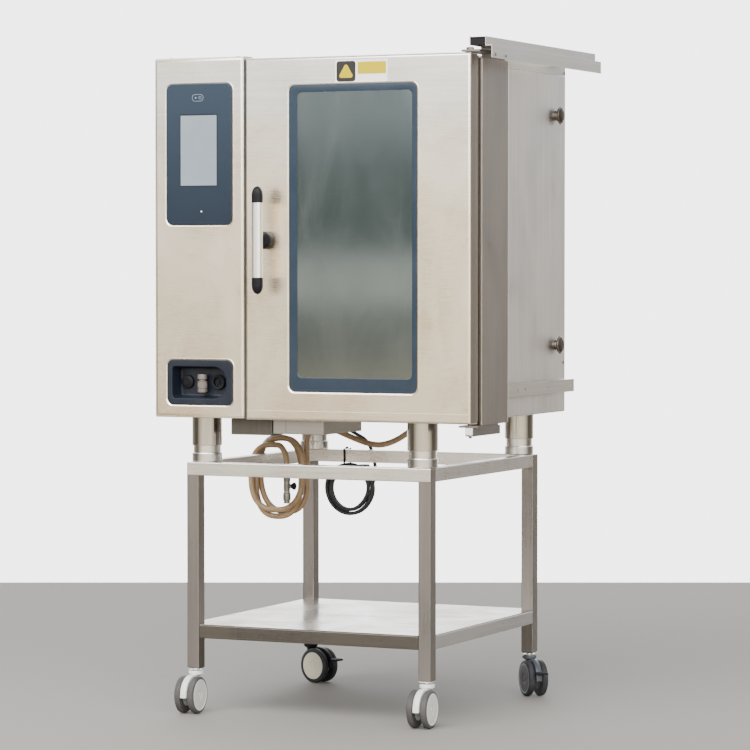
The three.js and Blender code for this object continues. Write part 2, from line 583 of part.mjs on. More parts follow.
function addCasters() {
  const axle = [-CASTER_TRAIL, WHEEL_RADIUS];
  CASTERS.forEach(([name, x, y, heading, hoodFinish, braked]) => {
    const group = new THREE.Group();
    group.position.set(x, y, 0);
    group.rotation.z = THREE.MathUtils.degToRad(heading);
    assembly.add(group);

    const wheelHalf = (side) => union(
      rod("x", axle, ...(side > 0 ? [10, 28] : [-28, -10]), WHEEL_RADIUS - 3, WHEEL_RADIUS - 3, 24),
      rod("x", axle, ...(side > 0 ? [12.5, 25.5] : [-25.5, -12.5]), WHEEL_RADIUS, WHEEL_RADIUS, 24),
    );
    place(`wheels_${name}`, union(wheelHalf(1), wheelHalf(-1), rod("x", axle, -11, 11, 5, 5, 12)),
      TYRE_GREY, group);

    const arch = [];
    for (let step = 0; step <= 12; step += 1) {
      const angle = Math.PI * (0.02 + (step / 12) * 1.03);
      arch.push([axle[0] - 51 * Math.cos(angle), axle[1] + 51 * Math.sin(angle)]);
    }
    arch.push([axle[0] + 12, axle[1] - 12], [axle[0] - 12, axle[1] - 12]);
    const slot = braked ? [box(-7, 7, -110, axle[0] - 29, 57, 81)] : [];
    const hood = union(
      cut(alongX(arch, -HOOD_HALF, HOOD_HALF), rod("x", axle, -20, 20, 5.4, 5.4, 16), ...slot),
      rod("z", [0, 0], 101, 111, 18, 16),
      rod("z", [0, 0], 86, 102, 11, 11, 16).intersect(box(-HOOD_HALF, HOOD_HALF, -20, 20, 85, 105)),
      rod("z", [0, 0], 110, STAND.legBottom + 18, 8, 8, 16),
    );
    place(`caster_${name}`, hood, hoodFinish, group);

    if (braked) {
      const pivotY = axle[0] - 38;
      place(`brake_${name}`, union(
        rod("x", [pivotY, 69], -6.5, 6.5, 6, 6, 16),
        box(-6.5, 6.5, pivotY - 30, pivotY, 66, 72),
        box(-16, 16, pivotY - 42, pivotY - 18, 66, 72),
      ), DARK_PLASTIC, group);
    }
  });
}

// ---- water hose ---------------------------------------------------------
const HOSE_ROUTE = [
  HOSE_EXIT, [541, 505, 754.8], [521, 505, 741.2], [501, 505, 727.6], [480, 505, 714.6], [458, 505, 704.4],
  [437, 505, 698], [415, 505, 695.4], [388, 505, 698.6], [361, 505, 706], [331, 505, 716.6], [301, 505, 728],
  [272, 505, 738], [246, 505, 742.5], [222, 507, 739], [205, 511, 726], [195, 516, 706], [191, 521, 680],
  [190, 525, 650], [190, 526, 618.5],
];
const HOSE_COIL = { x: 116, z: 602, halfWidth: 83, halfHeight: 114, y0: 476, y1: 534 };
const HOSE_END = [158, 465];

function addHose() {
  place("hose_run", tubeThrough(HOSE_ROUTE, HOSE_RADIUS, 8, 44), HOSE_TAN);

  const { x, z, halfWidth, halfHeight, y0, y1 } = HOSE_COIL;
  const outline = new THREE.Shape();
  outline.setFromPoints(Array.from({ length: 32 }, (_, step) => {
    const angle = (step / 32) * 2 * Math.PI;
    return new THREE.Vector2(halfWidth * Math.cos(angle), halfHeight * Math.sin(angle));
  }));
  const around = alongY(outline, y0, y1).translate([x, 0, z]);
  const hole = roundedPlate(51.5, 160, y0 - 5, y1 + 5, 512, 675, 42, 5);
  const entry = rod("z", [190, 524], 618, 700, HOSE_RADIUS + 4, HOSE_RADIUS + 4, 12);
  place("hose_coil", cut(around, hole, entry), HOSE_TAN);

  const [valveX, valveY] = HOSE_END;
  place("hose_valve", union(
    rod("z", HOSE_END, 530, 566, 10.5, 10.5, 16),
    rod("z", HOSE_END, 565, 600, 9, 9, 6),
    rod("x", [valveY, 578], valveX, valveX + 18, 6, 6, 12),
    rod("x", [valveY, 578], valveX + 16, valveX + 26, 11, 11, 12),
  ), BRASS);
}

// ---- supply cable -------------------------------------------------------
const CABLE_ROUTE = [
  [GLAND[0], GLAND[1], GLAND_BOTTOM - GAP], [190, 700, 757], [190.5, 702, 750], [194, 708, 743], [201, 718, 736], [212, 731, 727],
  [224, 745, 717], [237, 759, 706.5], [248, 773, 696], [256, 785, 683], [261, 792, 667], [266, 794.5, 648],
  [271, 795, 628], [275, 794, 608], [277, 792, 590], [277, 790, 574],
];
const CABLE_COIL = { x: 206, z: 553, inner: 52, outer: 76, y0: 748, y1: 784 };

function addCable() {
  place("cable_run", tubeThrough(CABLE_ROUTE, CABLE_RADIUS, 8, 30), RUBBER);

  const { x, z, inner, outer, y0, y1 } = CABLE_COIL;
  const ring = new THREE.LatheGeometry([[inner, y0], [outer, y0], [outer, y1], [inner, y1], [inner, y0]].map(
    ([r, y]) => new THREE.Vector2(r, y)), 40);
  ring.translate(x, 0, z);
  place("cable_coil", toSolid(ring), RUBBER);

  place("cable_tie", cut(
    box(197, 202, 744.5, 787, 598, 668),
    box(190, 210, 746.5, 785, 600, 666),
  ), DARK_PLASTIC);

  place("cable_plug", union(
    roundedPlate(214, 250, 785, 811, 596, 622, 6),
    rod("x", [798, 609], 206, 214.5, 6, 9, 16),
    box(249, 265, 793, 795, 606, 612),
    box(249, 265, 801, 803, 606, 612),
  ), RUBBER);
}

addCasing();
addBase();
addColumn();
addHoseRecess();
addCavity();
addDoor();
addHandle();
addCarriage();
addStand();
addCasters();
addHose();
addCable();

export default oven;
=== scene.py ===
"""Looks for a combi steamer oven with a recessing door, on a tube stand with twin-wheel casters.

Lengths are millimetres in the oven's own axes: x runs right from the control column's left edge,
y runs back from the outer face of the closed door and z runs up from the floor. at() turns them
into the frame's metres.
"""

import json
import math

import bmesh
import bpy
from mathutils import Matrix, Vector


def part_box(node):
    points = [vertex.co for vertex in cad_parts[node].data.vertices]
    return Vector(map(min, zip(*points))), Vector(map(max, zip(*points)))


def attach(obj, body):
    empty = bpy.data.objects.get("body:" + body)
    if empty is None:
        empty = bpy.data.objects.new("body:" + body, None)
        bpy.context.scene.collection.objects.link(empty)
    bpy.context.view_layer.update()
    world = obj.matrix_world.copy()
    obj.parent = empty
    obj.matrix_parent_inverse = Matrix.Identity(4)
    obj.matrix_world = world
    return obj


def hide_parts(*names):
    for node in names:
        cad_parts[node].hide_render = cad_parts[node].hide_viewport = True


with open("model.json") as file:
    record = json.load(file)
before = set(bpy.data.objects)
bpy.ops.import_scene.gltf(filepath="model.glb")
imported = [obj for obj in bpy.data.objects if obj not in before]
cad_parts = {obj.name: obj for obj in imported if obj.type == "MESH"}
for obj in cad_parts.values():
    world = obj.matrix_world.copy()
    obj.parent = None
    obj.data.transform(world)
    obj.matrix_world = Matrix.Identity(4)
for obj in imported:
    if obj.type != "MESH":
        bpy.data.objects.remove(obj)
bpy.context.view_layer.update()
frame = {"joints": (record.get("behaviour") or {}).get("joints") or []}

MM = 0.001
ORIGIN = Vector((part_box("column_front")[0][0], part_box("door_shell")[0][1], 0.0))
CORNERS = ("front_left", "front_right", "rear_left", "rear_right")
UNDERSIDE = 783.8
HANDLE_HEIGHT = 1250


def at(x, y, z):
    return ORIGIN + Vector((x, y, z)) * MM


def local_box(node):
    """A node's box in the oven's own millimetres."""
    low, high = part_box(node)
    return (Vector(low) - ORIGIN) / MM, (Vector(high) - ORIGIN) / MM


# ---- camera ---------------------------------------------------------------

CAMERA_PLACE = (4128.5, -7504.9, 1183.7)
CAMERA_YAW = math.radians(24.92)
CAMERA_DOWN = math.radians(1.93)
CAMERA_LENS = 155.4


def add_camera():
    data = bpy.data.cameras.new("camera")
    data.lens = CAMERA_LENS
    data.sensor_width = 36
    data.clip_end = 100
    camera = bpy.data.objects.new("camera", data)
    bpy.context.collection.objects.link(camera)
    camera.location = at(*CAMERA_PLACE)
    forward = Vector((
        -math.sin(CAMERA_YAW) * math.cos(CAMERA_DOWN),
        math.cos(CAMERA_YAW) * math.cos(CAMERA_DOWN),
        -math.sin(CAMERA_DOWN),
    ))
    camera.rotation_mode = "QUATERNION"
    camera.rotation_quaternion = forward.to_track_quat("-Z", "Y")
    bpy.context.scene.camera = camera


# ---- node-based materials ---------------------------------------------------

class Shader:
    """A node tree that is built one node at a time."""

    def __init__(self, name):
        self.material = bpy.data.materials.new(name)
        self.material.use_nodes = True
        self.tree = self.material.node_tree
        self.surface = self.tree.nodes["Principled BSDF"]
        self.place = self.node("ShaderNodeTexCoord").outputs["Object"]

    def node(self, kind, **settings):
        made = self.tree.nodes.new(kind)
        for key, value in settings.items():
            setattr(made, key, value)
        return made

    def feed(self, socket, value):
        if isinstance(value, bpy.types.NodeSocket):
            self.tree.links.new(value, socket)
        else:
            socket.default_value = value

    def noise(self, scale, stretch=(1, 1, 1), detail=3.0, roughness=0.5, distortion=0.0):
        mapping = self.node("ShaderNodeMapping")
        self.feed(mapping.inputs["Vector"], self.place)
        mapping.inputs["Scale"].default_value = [scale * s for s in stretch]
        texture = self.node("ShaderNodeTexNoise")
        self.feed(texture.inputs["Vector"], mapping.outputs[0])
        texture.inputs["Scale"].default_value = 1.0
        texture.inputs["Detail"].default_value = detail
        texture.inputs["Roughness"].default_value = roughness
        texture.inputs["Distortion"].default_value = distortion
        return texture.outputs["Fac"]

    def spread(self, value, low, high, to_low=0.0, to_high=1.0):
        node = self.node("ShaderNodeMapRange")
        self.feed(node.inputs["Value"], value)
        for socket, number in zip(("From Min", "From Max", "To Min", "To Max"), (low, high, to_low, to_high)):
            node.inputs[socket].default_value = number
        return node.outputs["Result"]

    def math(self, operation, first, second):
        node = self.node("ShaderNodeMath", operation=operation)
        self.feed(node.inputs[0], first)
        self.feed(node.inputs[1], second)
        return node.outputs[0]

    def mix(self, factor, first, second):
        node = self.node("ShaderNodeMix", data_type="RGBA")
        self.feed(node.inputs["Factor"], factor)
        self.feed(node.inputs["A"], (*first, 1) if isinstance(first, tuple) else first)
        self.feed(node.inputs["B"], (*second, 1) if isinstance(second, tuple) else second)
        return node.outputs["Result"]

    def along(self, axis):
        node = self.node("ShaderNodeSeparateXYZ")
        self.feed(node.inputs[0], self.place)
        return node.outputs[axis]

    def bump(self, height, strength, distance=0.001):
        node = self.node("ShaderNodeBump")
        self.feed(node.inputs["Height"], height)
        node.inputs["Strength"].default_value = strength
        node.inputs["Distance"].default_value = distance
        self.feed(self.surface.inputs["Normal"], node.outputs[0])

    def set(self, **values):
        names = {
            "color": "Base Color", "metallic": "Metallic", "rough": "Roughness", "coat": "Coat Weight",
            "coat_rough": "Coat Roughness", "glow": "Emission Color", "glow_strength": "Emission Strength",
            "grain": "Anisotropic", "grain_turn": "Anisotropic Rotation", "tangent": "Tangent",
            "specular": "Specular IOR Level",
        }
        for key, value in values.items():
            self.feed(self.surface.inputs[names[key]], (*value, 1) if isinstance(value, tuple) else value)
        return self.material


GRAINS = {"x": (0.02, 1, 1), "y": (1, 0.02, 1), "z": (1, 1, 0.02)}


def brushed(
    name, color, rough=0.3, grain="x", depth=0.05, smudge=0.5, stain=0.0, grain_blur=0.55, painted_ground_warmth=None
):
    """Brushed stainless steel: fine lines, wiped smudges, faint tarnish and, low down, a painted warm
    reflection of the ground.
    """
    shader = Shader(name)
    lines = shader.noise(900, GRAINS[grain], detail=2.0, roughness=0.6)
    wide_lines = shader.noise(140, GRAINS[grain], detail=2.0)
    wipes = shader.noise(5, (1, 1, 0.6), detail=5.0, roughness=0.62, distortion=0.8)
    spots = shader.noise(38, detail=4.0, roughness=0.7)
    darker = tuple(c * 0.86 for c in color)
    warmer = (color[0] * 0.93, color[1] * 0.885, color[2] * 0.80)
    base = shader.mix(shader.spread(wide_lines, 0.3, 0.7), darker, color)
    # Painted light: warmer below about 1.4 m and in uneven patches, standing for the warm ground reflected in
    # the steel.
    if painted_ground_warmth:
        base = shader.mix(shader.spread(shader.along("Z"), 1.66, 1.38), base, painted_ground_warmth)
        painted_warmth_patches = shader.noise(3.2, (1, 1, 1.6), detail=4.0, roughness=0.6, distortion=0.6)
        deeper_painted_warmth = tuple(c * fade for c, fade in zip(painted_ground_warmth, (0.90, 0.83, 0.70)))
        base = shader.mix(shader.spread(painted_warmth_patches, 0.42, 0.7, 0.0, 0.6), base, deeper_painted_warmth)
    tarnish = shader.math("MULTIPLY", shader.spread(wipes, 0.42, 0.75), 0.55 + stain)
    base = shader.mix(tarnish, base, warmer)
    marks = shader.math("MULTIPLY", shader.spread(spots, 0.62, 0.78), stain)
    base = shader.mix(marks, base, tuple(c * 0.6 for c in color))
    wiped = shader.spread(wipes, 0.3, 0.7, rough - 0.07 * smudge, rough + 0.13 * smudge)
    roughness = shader.math("ADD", wiped, shader.spread(lines, 0.3, 0.7, -0.04, 0.04))
    tangent = shader.node("ShaderNodeTangent", direction_type="RADIAL", axis="Z").outputs[0]
    shader.bump(shader.math("ADD", lines, shader.math("MULTIPLY", wipes, 0.8)), depth, 0.0006)
    return shader.set(color=base, metallic=1.0, rough=roughness, grain=grain_blur, tangent=tangent,
                      grain_turn=0.25 if grain == "z" else 0.0)


def polished(name, color, rough=0.12, wear=0.4):
    """Turned or plated metal with fine scratches."""
    shader = Shader(name)
    scratches = shader.noise(260, (1, 1, 0.1), detail=4.0, roughness=0.7)
    haze = shader.noise(22, detail=4.0)
    base = shader.mix(shader.spread(haze, 0.4, 0.75, 0.0, wear), color, tuple(c * 0.62 for c in color))
    shader.bump(scratches, 0.06, 0.0004)
    return shader.set(
        color=base, metallic=1.0, rough=shader.spread(haze, 0.3, 0.8, rough, rough + 0.22 * wear)
    )


def plastic(name, color, rough=0.42, grain=0.1, dust=0.15, shine=0.5):
    """Moulded plastic: fine texture, slightly polished where it is touched, with light dust."""
    shader = Shader(name)
    texture = shader.noise(1500, detail=2.0)
    cloud = shader.noise(30, detail=5.0, roughness=0.6)
    dusty = tuple(min(1.0, c * 0.7 + 0.12) for c in color)
    base = shader.mix(shader.spread(cloud, 0.45, 0.8, 0.0, dust), color, dusty)
    shader.bump(texture, grain, 0.0005)
    return shader.set(
        color=base, rough=shader.spread(cloud, 0.3, 0.7, rough - 0.06, rough + 0.1), specular=shine
    )


def make_materials():
    return {
        # Painted light: the front steel is a brighter copy of the side steel for the lit front, with painted
        # warm ground light low down.
        "front": brushed(
            "front_steel_painted_light", (0.96, 0.94, 0.90), rough=0.27, grain="x", smudge=0.5,
            painted_ground_warmth=(0.97, 0.85, 0.67)
        ),
        "grip": brushed("grip_steel", (0.90, 0.88, 0.86), rough=0.3, grain="z", smudge=0.3),
        "side": brushed("side_steel", (0.68, 0.65, 0.635), rough=0.36, grain="z", smudge=0.7, stain=0.12),
        "roof": brushed("roof_steel", (0.72, 0.70, 0.68), rough=0.38, grain="y", smudge=0.6, stain=0.1),
        "post": brushed("post_steel", (0.27, 0.24, 0.215), rough=0.33, grain="z", smudge=0.6),
        # Painted shade: the service box and its tray take darker copies of the steel, for the shade under the
        # oven.
        "box": brushed("box_steel_painted_shade", (0.125, 0.112, 0.098), rough=0.4, grain="z", smudge=0.6),
        "tray": brushed("tray_steel_painted_shade", (0.40, 0.375, 0.35), rough=0.38, grain="x", smudge=0.6),
        "bronze": plastic("bumper_rubber", (0.030, 0.021, 0.014), rough=0.42, dust=0.03, shine=0.25),
        "rail": brushed("rail_steel", (0.70, 0.67, 0.64), rough=0.34, grain="y", smudge=0.4),
        # Painted shade: a darker copy of the stand's tube steel for the legs under the oven.
        "leg": brushed("leg_steel_painted_shade", (0.255, 0.228, 0.203), rough=0.3, grain="z", smudge=0.7, stain=0.15),
        # Painted light: a brighter copy of the stand's tube steel for the lit cross rails.
        "lit_cross_tube": brushed(
            "cross_tube_steel_painted_light", (0.97, 0.945, 0.90), rough=0.27, grain="x", smudge=0.5, stain=0.1
        ),
        # Painted shade: a darker copy of the tube steel for the shelf rails low under the oven.
        "shaded_low_tube": brushed(
            "low_tube_steel_painted_shade", (0.175, 0.155, 0.133), rough=0.3, grain="x", smudge=0.7, stain=0.2
        ),
        "side_tube": brushed(
            "side_tube_steel", (0.64, 0.62, 0.62), rough=0.3, grain="y", smudge=0.9, stain=0.2
        ),
        # Painted shade: a darker copy of the steel for the shelf sheet under the oven.
        "shelf": brushed(
            "shelf_steel_painted_shade", (0.38, 0.355, 0.325), rough=0.24, grain="x", smudge=0.9, stain=0.15
        ),
        "liner": brushed("liner_steel", (0.66, 0.65, 0.62), rough=0.3, grain="z", smudge=0.5, stain=0.25),
        "dark_metal": brushed("dark_metal", (0.22, 0.205, 0.19), rough=0.4, grain="y", smudge=0.4),
        "bright": polished("bright_metal", (0.82, 0.80, 0.76), rough=0.16),
        "sleeve": brushed(
            "sleeve_steel", (0.64, 0.62, 0.59), rough=0.13, grain="z", smudge=0.3, grain_blur=0.3
        ),
        "wire": polished("rack_wire", (0.72, 0.71, 0.69), rough=0.2),
        "element": polished("element_metal", (0.42, 0.39, 0.36), rough=0.35, wear=0.8),
        "brass": polished("valve_metal", (0.27, 0.245, 0.205), rough=0.3, wear=0.8),
        "black": plastic("black_plastic", (0.008, 0.008, 0.010), rough=0.38, dust=0.02, shine=0.12),
        "charcoal": plastic("charcoal_plastic", (0.020, 0.022, 0.030), rough=0.4, dust=0.05, shine=0.3),
        "tub": plastic("recess_plastic", (0.0075, 0.0105, 0.018), rough=0.34, dust=0.03, shine=0.28),
        "hood_grey": plastic("hood_plastic", (0.050, 0.056, 0.068), rough=0.4),
        "coupling": plastic("coupling_alloy", (0.125, 0.105, 0.090), rough=0.36, dust=0.06, shine=0.6),
        "dark_disc": plastic("dark_disc_plastic", (0.045, 0.042, 0.046), rough=0.4),
        "grey": plastic("grey_plastic", (0.20, 0.22, 0.25), rough=0.45),
        "white": plastic("white_plastic", (0.72, 0.72, 0.70), rough=0.38, dust=0.3),
        "cream": plastic("cream_plastic", (0.56, 0.52, 0.40), rough=0.4, dust=0.2),
        "pale_grey": plastic("pale_grey_plastic", (0.56, 0.555, 0.52), rough=0.4, dust=0.2),
        "tyre": plastic("tyre_rubber", (0.062, 0.056, 0.053), rough=0.6, grain=0.3, dust=0.3, shine=0.3),
        "black_tyre": plastic(
            "black_tyre_rubber", (0.020, 0.020, 0.022), rough=0.55, grain=0.3, dust=0.2, shine=0.3
        ),
        "gasket": plastic("gasket_rubber", (0.018, 0.018, 0.018), rough=0.6),
        "cable": plastic("cable_sheath", (0.014, 0.015, 0.016), rough=0.42),
        "panel": make_panel_blue(),
        "screen": make_screen(),
        "hose": make_hose_cover(),
        "pane": make_clear_glass("outer_pane", (0.46, 0.51, 0.50), 0.30),
        "inner_pane": make_clear_glass("inner_pane", (0.72, 0.76, 0.75), 0.08),
        "print": make_glass_print(),
        "ink": plastic("printed_ink", (0.20, 0.24, 0.29), rough=0.4),
        "label_white": plastic("label_white", (0.80, 0.80, 0.76), rough=0.5, grain=0.03, dust=0.05),
        "label_yellow": plastic(
            "label_yellow", (0.46, 0.36, 0.003), rough=0.6, grain=0.03, dust=0.0, shine=0.15
        ),
        "label_dark": plastic(
            "label_dark", (0.022, 0.021, 0.018), rough=0.5, grain=0.03, dust=0.05, shine=0.2
        ),
        "lamp": make_status_light(),
    }


def make_panel_blue():
    """Back-printed blue front foil with a soft gloss and finger marks, with painted light that makes it paler
    towards the top.
    """
    shader = Shader("panel_blue_painted_top_light")
    marks = shader.noise(9, detail=5.0, roughness=0.6, distortion=0.4)
    # Painted light: the colour grows paler towards the top.
    rise = shader.spread(shader.along("Z"), 1.29, 1.66)
    base = shader.mix(rise, (0.0085, 0.0155, 0.0265), (0.019, 0.031, 0.048))
    shader.bump(marks, 0.008, 0.0004)
    return shader.set(color=base, rough=shader.spread(marks, 0.3, 0.7, 0.28, 0.34), specular=0.22, coat=0.1,
                      coat_rough=0.2)


def make_screen():
    """A switched-off touch screen: pale, matt coated, a little uneven."""
    shader = Shader("screen_glass")
    cloud = shader.noise(9, detail=3.0)
    base = shader.mix(shader.spread(cloud, 0.35, 0.7), (0.17, 0.205, 0.245), (0.21, 0.245, 0.275))
    return shader.set(color=base, rough=0.36, coat=0.5, coat_rough=0.22)


def make_hose_cover():
    """Tan reinforced hose: the braid shows faintly under a worn, dusty skin."""
    shader = Shader("hose_cover")
    braid = shader.noise(420, detail=1.0)
    worn = shader.noise(16, detail=5.0, roughness=0.6)
    base = shader.mix(shader.spread(worn, 0.3, 0.7), (0.26, 0.145, 0.058), (0.38, 0.255, 0.135))
    base = shader.mix(shader.spread(braid, 0.45, 0.75, 0.0, 0.2), base, (0.50, 0.38, 0.23))
    shader.bump(braid, 0.2, 0.0008)
    return shader.set(color=base, rough=shader.spread(worn, 0.3, 0.7, 0.34, 0.5), coat=0.2, coat_rough=0.3)


def make_clear_glass(name, tint, mirror):
    """A thin pane: mostly clear, with a coating that mirrors part of the room."""
    shader = Shader(name)
    streaks = shader.noise(7, (1, 1, 0.4), detail=5.0, roughness=0.6, distortion=0.7)
    clear = shader.node("ShaderNodeBsdfTransparent")
    clear.inputs["Color"].default_value = (*tint, 1)
    gloss = shader.node("ShaderNodeBsdfGlossy")
    gloss.inputs["Color"].default_value = (0.93, 0.97, 0.96, 1)
    shader.feed(gloss.inputs["Roughness"], shader.spread(streaks, 0.35, 0.75, 0.02, 0.09))
    facing = shader.node("ShaderNodeFresnel")
    facing.inputs["IOR"].default_value = 1.5
    amount = shader.math("ADD", facing.outputs[0], shader.spread(streaks, 0.3, 0.8, mirror, mirror + 0.05))
    both = shader.node("ShaderNodeMixShader")
    shader.feed(both.inputs[0], amount)
    shader.feed(both.inputs[1], clear.outputs[0])
    shader.feed(both.inputs[2], gloss.outputs[0])
    shader.feed(shader.tree.nodes["Material Output"].inputs["Surface"], both.outputs[0])
    return shader.material


def make_glass_print():
    """The dark blue border printed behind the outer pane."""
    shader = Shader("glass_print")
    cloud = shader.noise(12, detail=3.0)
    base = shader.mix(shader.spread(cloud, 0.35, 0.7), (0.014, 0.025, 0.040), (0.020, 0.032, 0.049))
    return shader.set(color=base, rough=0.16, specular=0.4, coat=0.3, coat_rough=0.05)


def make_status_light():
    shader = Shader("status_light")
    cloud = shader.noise(900, detail=1.0)
    base = shader.mix(cloud, (0.55, 0.75, 0.95), (0.75, 0.88, 1.0))
    return shader.set(color=base, rough=0.3, glow=(0.6, 0.8, 1.0), glow_strength=0.4)


# ---- making pieces ------------------------------------------------------------

def smooth(piece, angle=30):
    """Smooth shading that keeps sharp edges and lights large flat faces evenly up to their rounds."""
    mesh = piece.data
    mesh.shade_smooth()
    edges = bmesh.new()
    edges.from_mesh(mesh)
    limit = math.radians(angle)
    for edge in edges.edges:
        edge.smooth = len(edge.link_faces) == 2 and edge.calc_face_angle(0.0) < limit
    edges.to_mesh(mesh)
    edges.free()
    weighted = piece.modifiers.new("flat", "WEIGHTED_NORMAL")
    weighted.keep_sharp = True
    weighted.weight = 100
    bake(piece)
    return piece


def bake(piece):
    """Applies the piece's modifiers."""
    evaluated = piece.evaluated_get(bpy.context.evaluated_depsgraph_get())
    mesh = bpy.data.meshes.new_from_object(evaluated)
    piece.modifiers.clear()
    piece.data = mesh


def dress(piece, body, look, nodes=()):
    piece.data.materials.clear()
    piece.data.materials.append(looks[look])
    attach(piece, body)
    if nodes:
        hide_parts(*nodes)
    return piece


def piece_from(name, points, faces):
    mesh = bpy.data.meshes.new(name)
    mesh.from_pydata([at(*point) for point in points], [], faces)
    piece = bpy.data.objects.new(name, mesh)
    bpy.context.collection.objects.link(piece)
    tidy = bmesh.new()
    tidy.from_mesh(mesh)
    bmesh.ops.recalc_face_normals(tidy, faces=tidy.faces)
    tidy.to_mesh(mesh)
    tidy.free()
    return piece


def soften(piece, width, segments=2, angle=40):
    """Rounds the piece's sharp edges."""
    bevel = piece.modifiers.new("round", "BEVEL")
    bevel.width = width * MM
    bevel.segments = segments
    bevel.limit_method = "ANGLE"
    bevel.angle_limit = math.radians(angle)
    bevel.use_clamp_overlap = True
    bake(piece)
    return smooth(piece)


def refined(node, name, width=0.8, segments=2, angle=40, roll=0):
    """A copy of a CAD node with its coplanar facets joined and its edges rounded."""
    source = bpy.data.objects[node]
    piece = bpy.data.objects.new(name, source.data.copy())
    bpy.context.collection.objects.link(piece)
    piece.matrix_world = source.matrix_world.copy()
    tidy = bmesh.new()
    tidy.from_mesh(piece.data)
    bmesh.ops.remove_doubles(tidy, verts=tidy.verts, dist=0.00002)
    bmesh.ops.dissolve_limit(tidy, angle_limit=math.radians(1), verts=tidy.verts, edges=tidy.edges)
    tidy.to_mesh(piece.data)
    tidy.free()
    if roll:
        roll_front_edges(piece, roll)
    if width:
        soften(piece, width, segments, angle)
    else:
        smooth(piece)
    return piece


def roll_front_edges(piece, width, segments=6):
    """Rounds the long front edges at the top and bottom of a panel, as folded sheet does."""
    mesh = bmesh.new()
    mesh.from_mesh(piece.data)
    front = min(v.co.y for v in mesh.verts)
    low = min(v.co.z for v in mesh.verts)
    high = max(v.co.z for v in mesh.verts)
    near = 0.00005
    edges = [
        edge for edge in mesh.edges
        if all(v.co.y < front + near and (v.co.z < low + near or v.co.z > high - near) for v in edge.verts)
    ]
    bmesh.ops.bevel(mesh, geom=edges, offset=width * MM, offset_type="OFFSET", segments=segments, profile=0.5,
                    affect="EDGES")
    mesh.to_mesh(piece.data)
    mesh.free()


def loft(name, rings, closed_ends=True):
    """Joins rings of equally many points; each end is closed by a face."""
    count = len(rings[0])
    points = [point for ring in rings for point in ring]
    faces = []
    for row in range(len(rings) - 1):
        for i in range(count):
            j = (i + 1) % count
            faces.append((row * count + i, row * count + j, (row + 1) * count + j, (row + 1) * count + i))
    if closed_ends:
        faces.append(tuple(range(count)))
        faces.append(tuple(range((len(rings) - 1) * count, len(rings) * count)))
    return piece_from(name, points, faces)


def lathe(name, axis, centre, profile, sides=64):
    """Turns (distance along the axis, radius) pairs about an axis; radius 0 closes an end."""
    points = []
    faces = []
    rows = []
    for along, radius in profile:
        if radius <= 0:
            rows.append([len(points)])
            points.append(turned(axis, centre, along, 0, 0))
            continue
        rows.append(list(range(len(points), len(points) + sides)))
        for side in range(sides):
            points.append(turned(axis, centre, along, radius, 2 * math.pi * side / sides))
    for first, second in zip(rows, rows[1:]):
        for i in range(sides):
            j = (i + 1) % sides
            if len(first) == 1 and len(second) > 1:
                faces.append((first[0], second[j], second[i]))
            elif len(second) == 1 and len(first) > 1:
                faces.append((first[i], first[j], second[0]))
            elif len(first) > 1:
                faces.append((first[i], first[j], second[j], second[i]))
    return piece_from(name, points, faces)


def turned(axis, centre, along, radius, angle):
    u = radius * math.cos(angle)
    v = radius * math.sin(angle)
    if axis == "x":
        return (centre[0] + along, centre[1] + u, centre[2] + v)
    if axis == "y":
        return (centre[0] + u, centre[1] + along, centre[2] + v)
    return (centre[0] + u, centre[1] + v, centre[2] + along)


def outline(x0, x1, z0, z1, radius, steps=10, right_radius=None):
    """A rounded rectangle in x and z; the right-hand corners can have their own radius."""
    right = radius if right_radius is None else right_radius
    corners = [(x1, z1, right, 0), (x0, z1, radius, 1), (x0, z0, radius, 2), (x1, z0, right, 3)]
    signs = [(-1, -1), (1, -1), (1, 1), (-1, 1)]
    points = []
    for (x, z, r, quarter), (sx, sz) in zip(corners, signs):
        for step in range(steps + 1):
            angle = (quarter + step / steps) * math.pi / 2
            points.append((x + sx * r + r * math.cos(angle), z + sz * r + r * math.sin(angle)))
    return points


def ring_at(points, y):
    return [(x, y, z) for x, z in points]


def plate(name, x0, x1, y0, y1, z0, z1, radius, edge=0.5, steps=10):
    """A rounded flat plate facing -y with a small round on its front edge."""
    def shape(inset):
        return outline(x0 + inset, x1 - inset, z0 + inset, z1 - inset, max(radius - inset, 0.05), steps)

    rings = [ring_at(shape(edge), y0), ring_at(shape(edge * 0.3), y0 + edge * 0.3),
             ring_at(shape(0), y0 + edge), ring_at(shape(0), y1)]
    piece = loft(name, rings)
    return smooth(piece, 35)


def frame_ring(name, outer, inner, y0, y1, lip=0.5):
    """A flat frame between two outlines of equally many points."""
    rings = [ring_at(inner, y1), ring_at(inner, y0 + lip), ring_at(blend_outline(inner, outer, 0.05), y0),
             ring_at(blend_outline(inner, outer, 0.95), y0), ring_at(outer, y0 + lip), ring_at(outer, y1)]
    rings.append(rings[0])
    piece = loft(name, rings, closed_ends=False)
    merge_close(piece)
    return smooth(piece, 35)


def rolled_lip(name, x0, x1, z0, z1, radius, width=4.6):
    """Sheet rolled forward round a cut-out; it slopes in towards what fills the cut-out."""
    rings = []
    for grow, y in (
        (0, 0.6), (0, -0.5), (0.25, -1.0), (0.55, -1.9), (0.74, -2.5), (0.86, -2.6), (0.96, -2.0), (1, 0.6)
    ):
        out = grow * width
        rings.append(ring_at(outline(x0 - out, x1 + out, z0 - out, z1 + out, radius + out, 12), y))
    lip = loft(name, rings + [rings[0]], closed_ends=False)
    merge_close(lip)
    return smooth(lip, 50)


def blend_outline(first, second, amount):
    return [(a[0] + (b[0] - a[0]) * amount, a[1] + (b[1] - a[1]) * amount) for a, b in zip(first, second)]


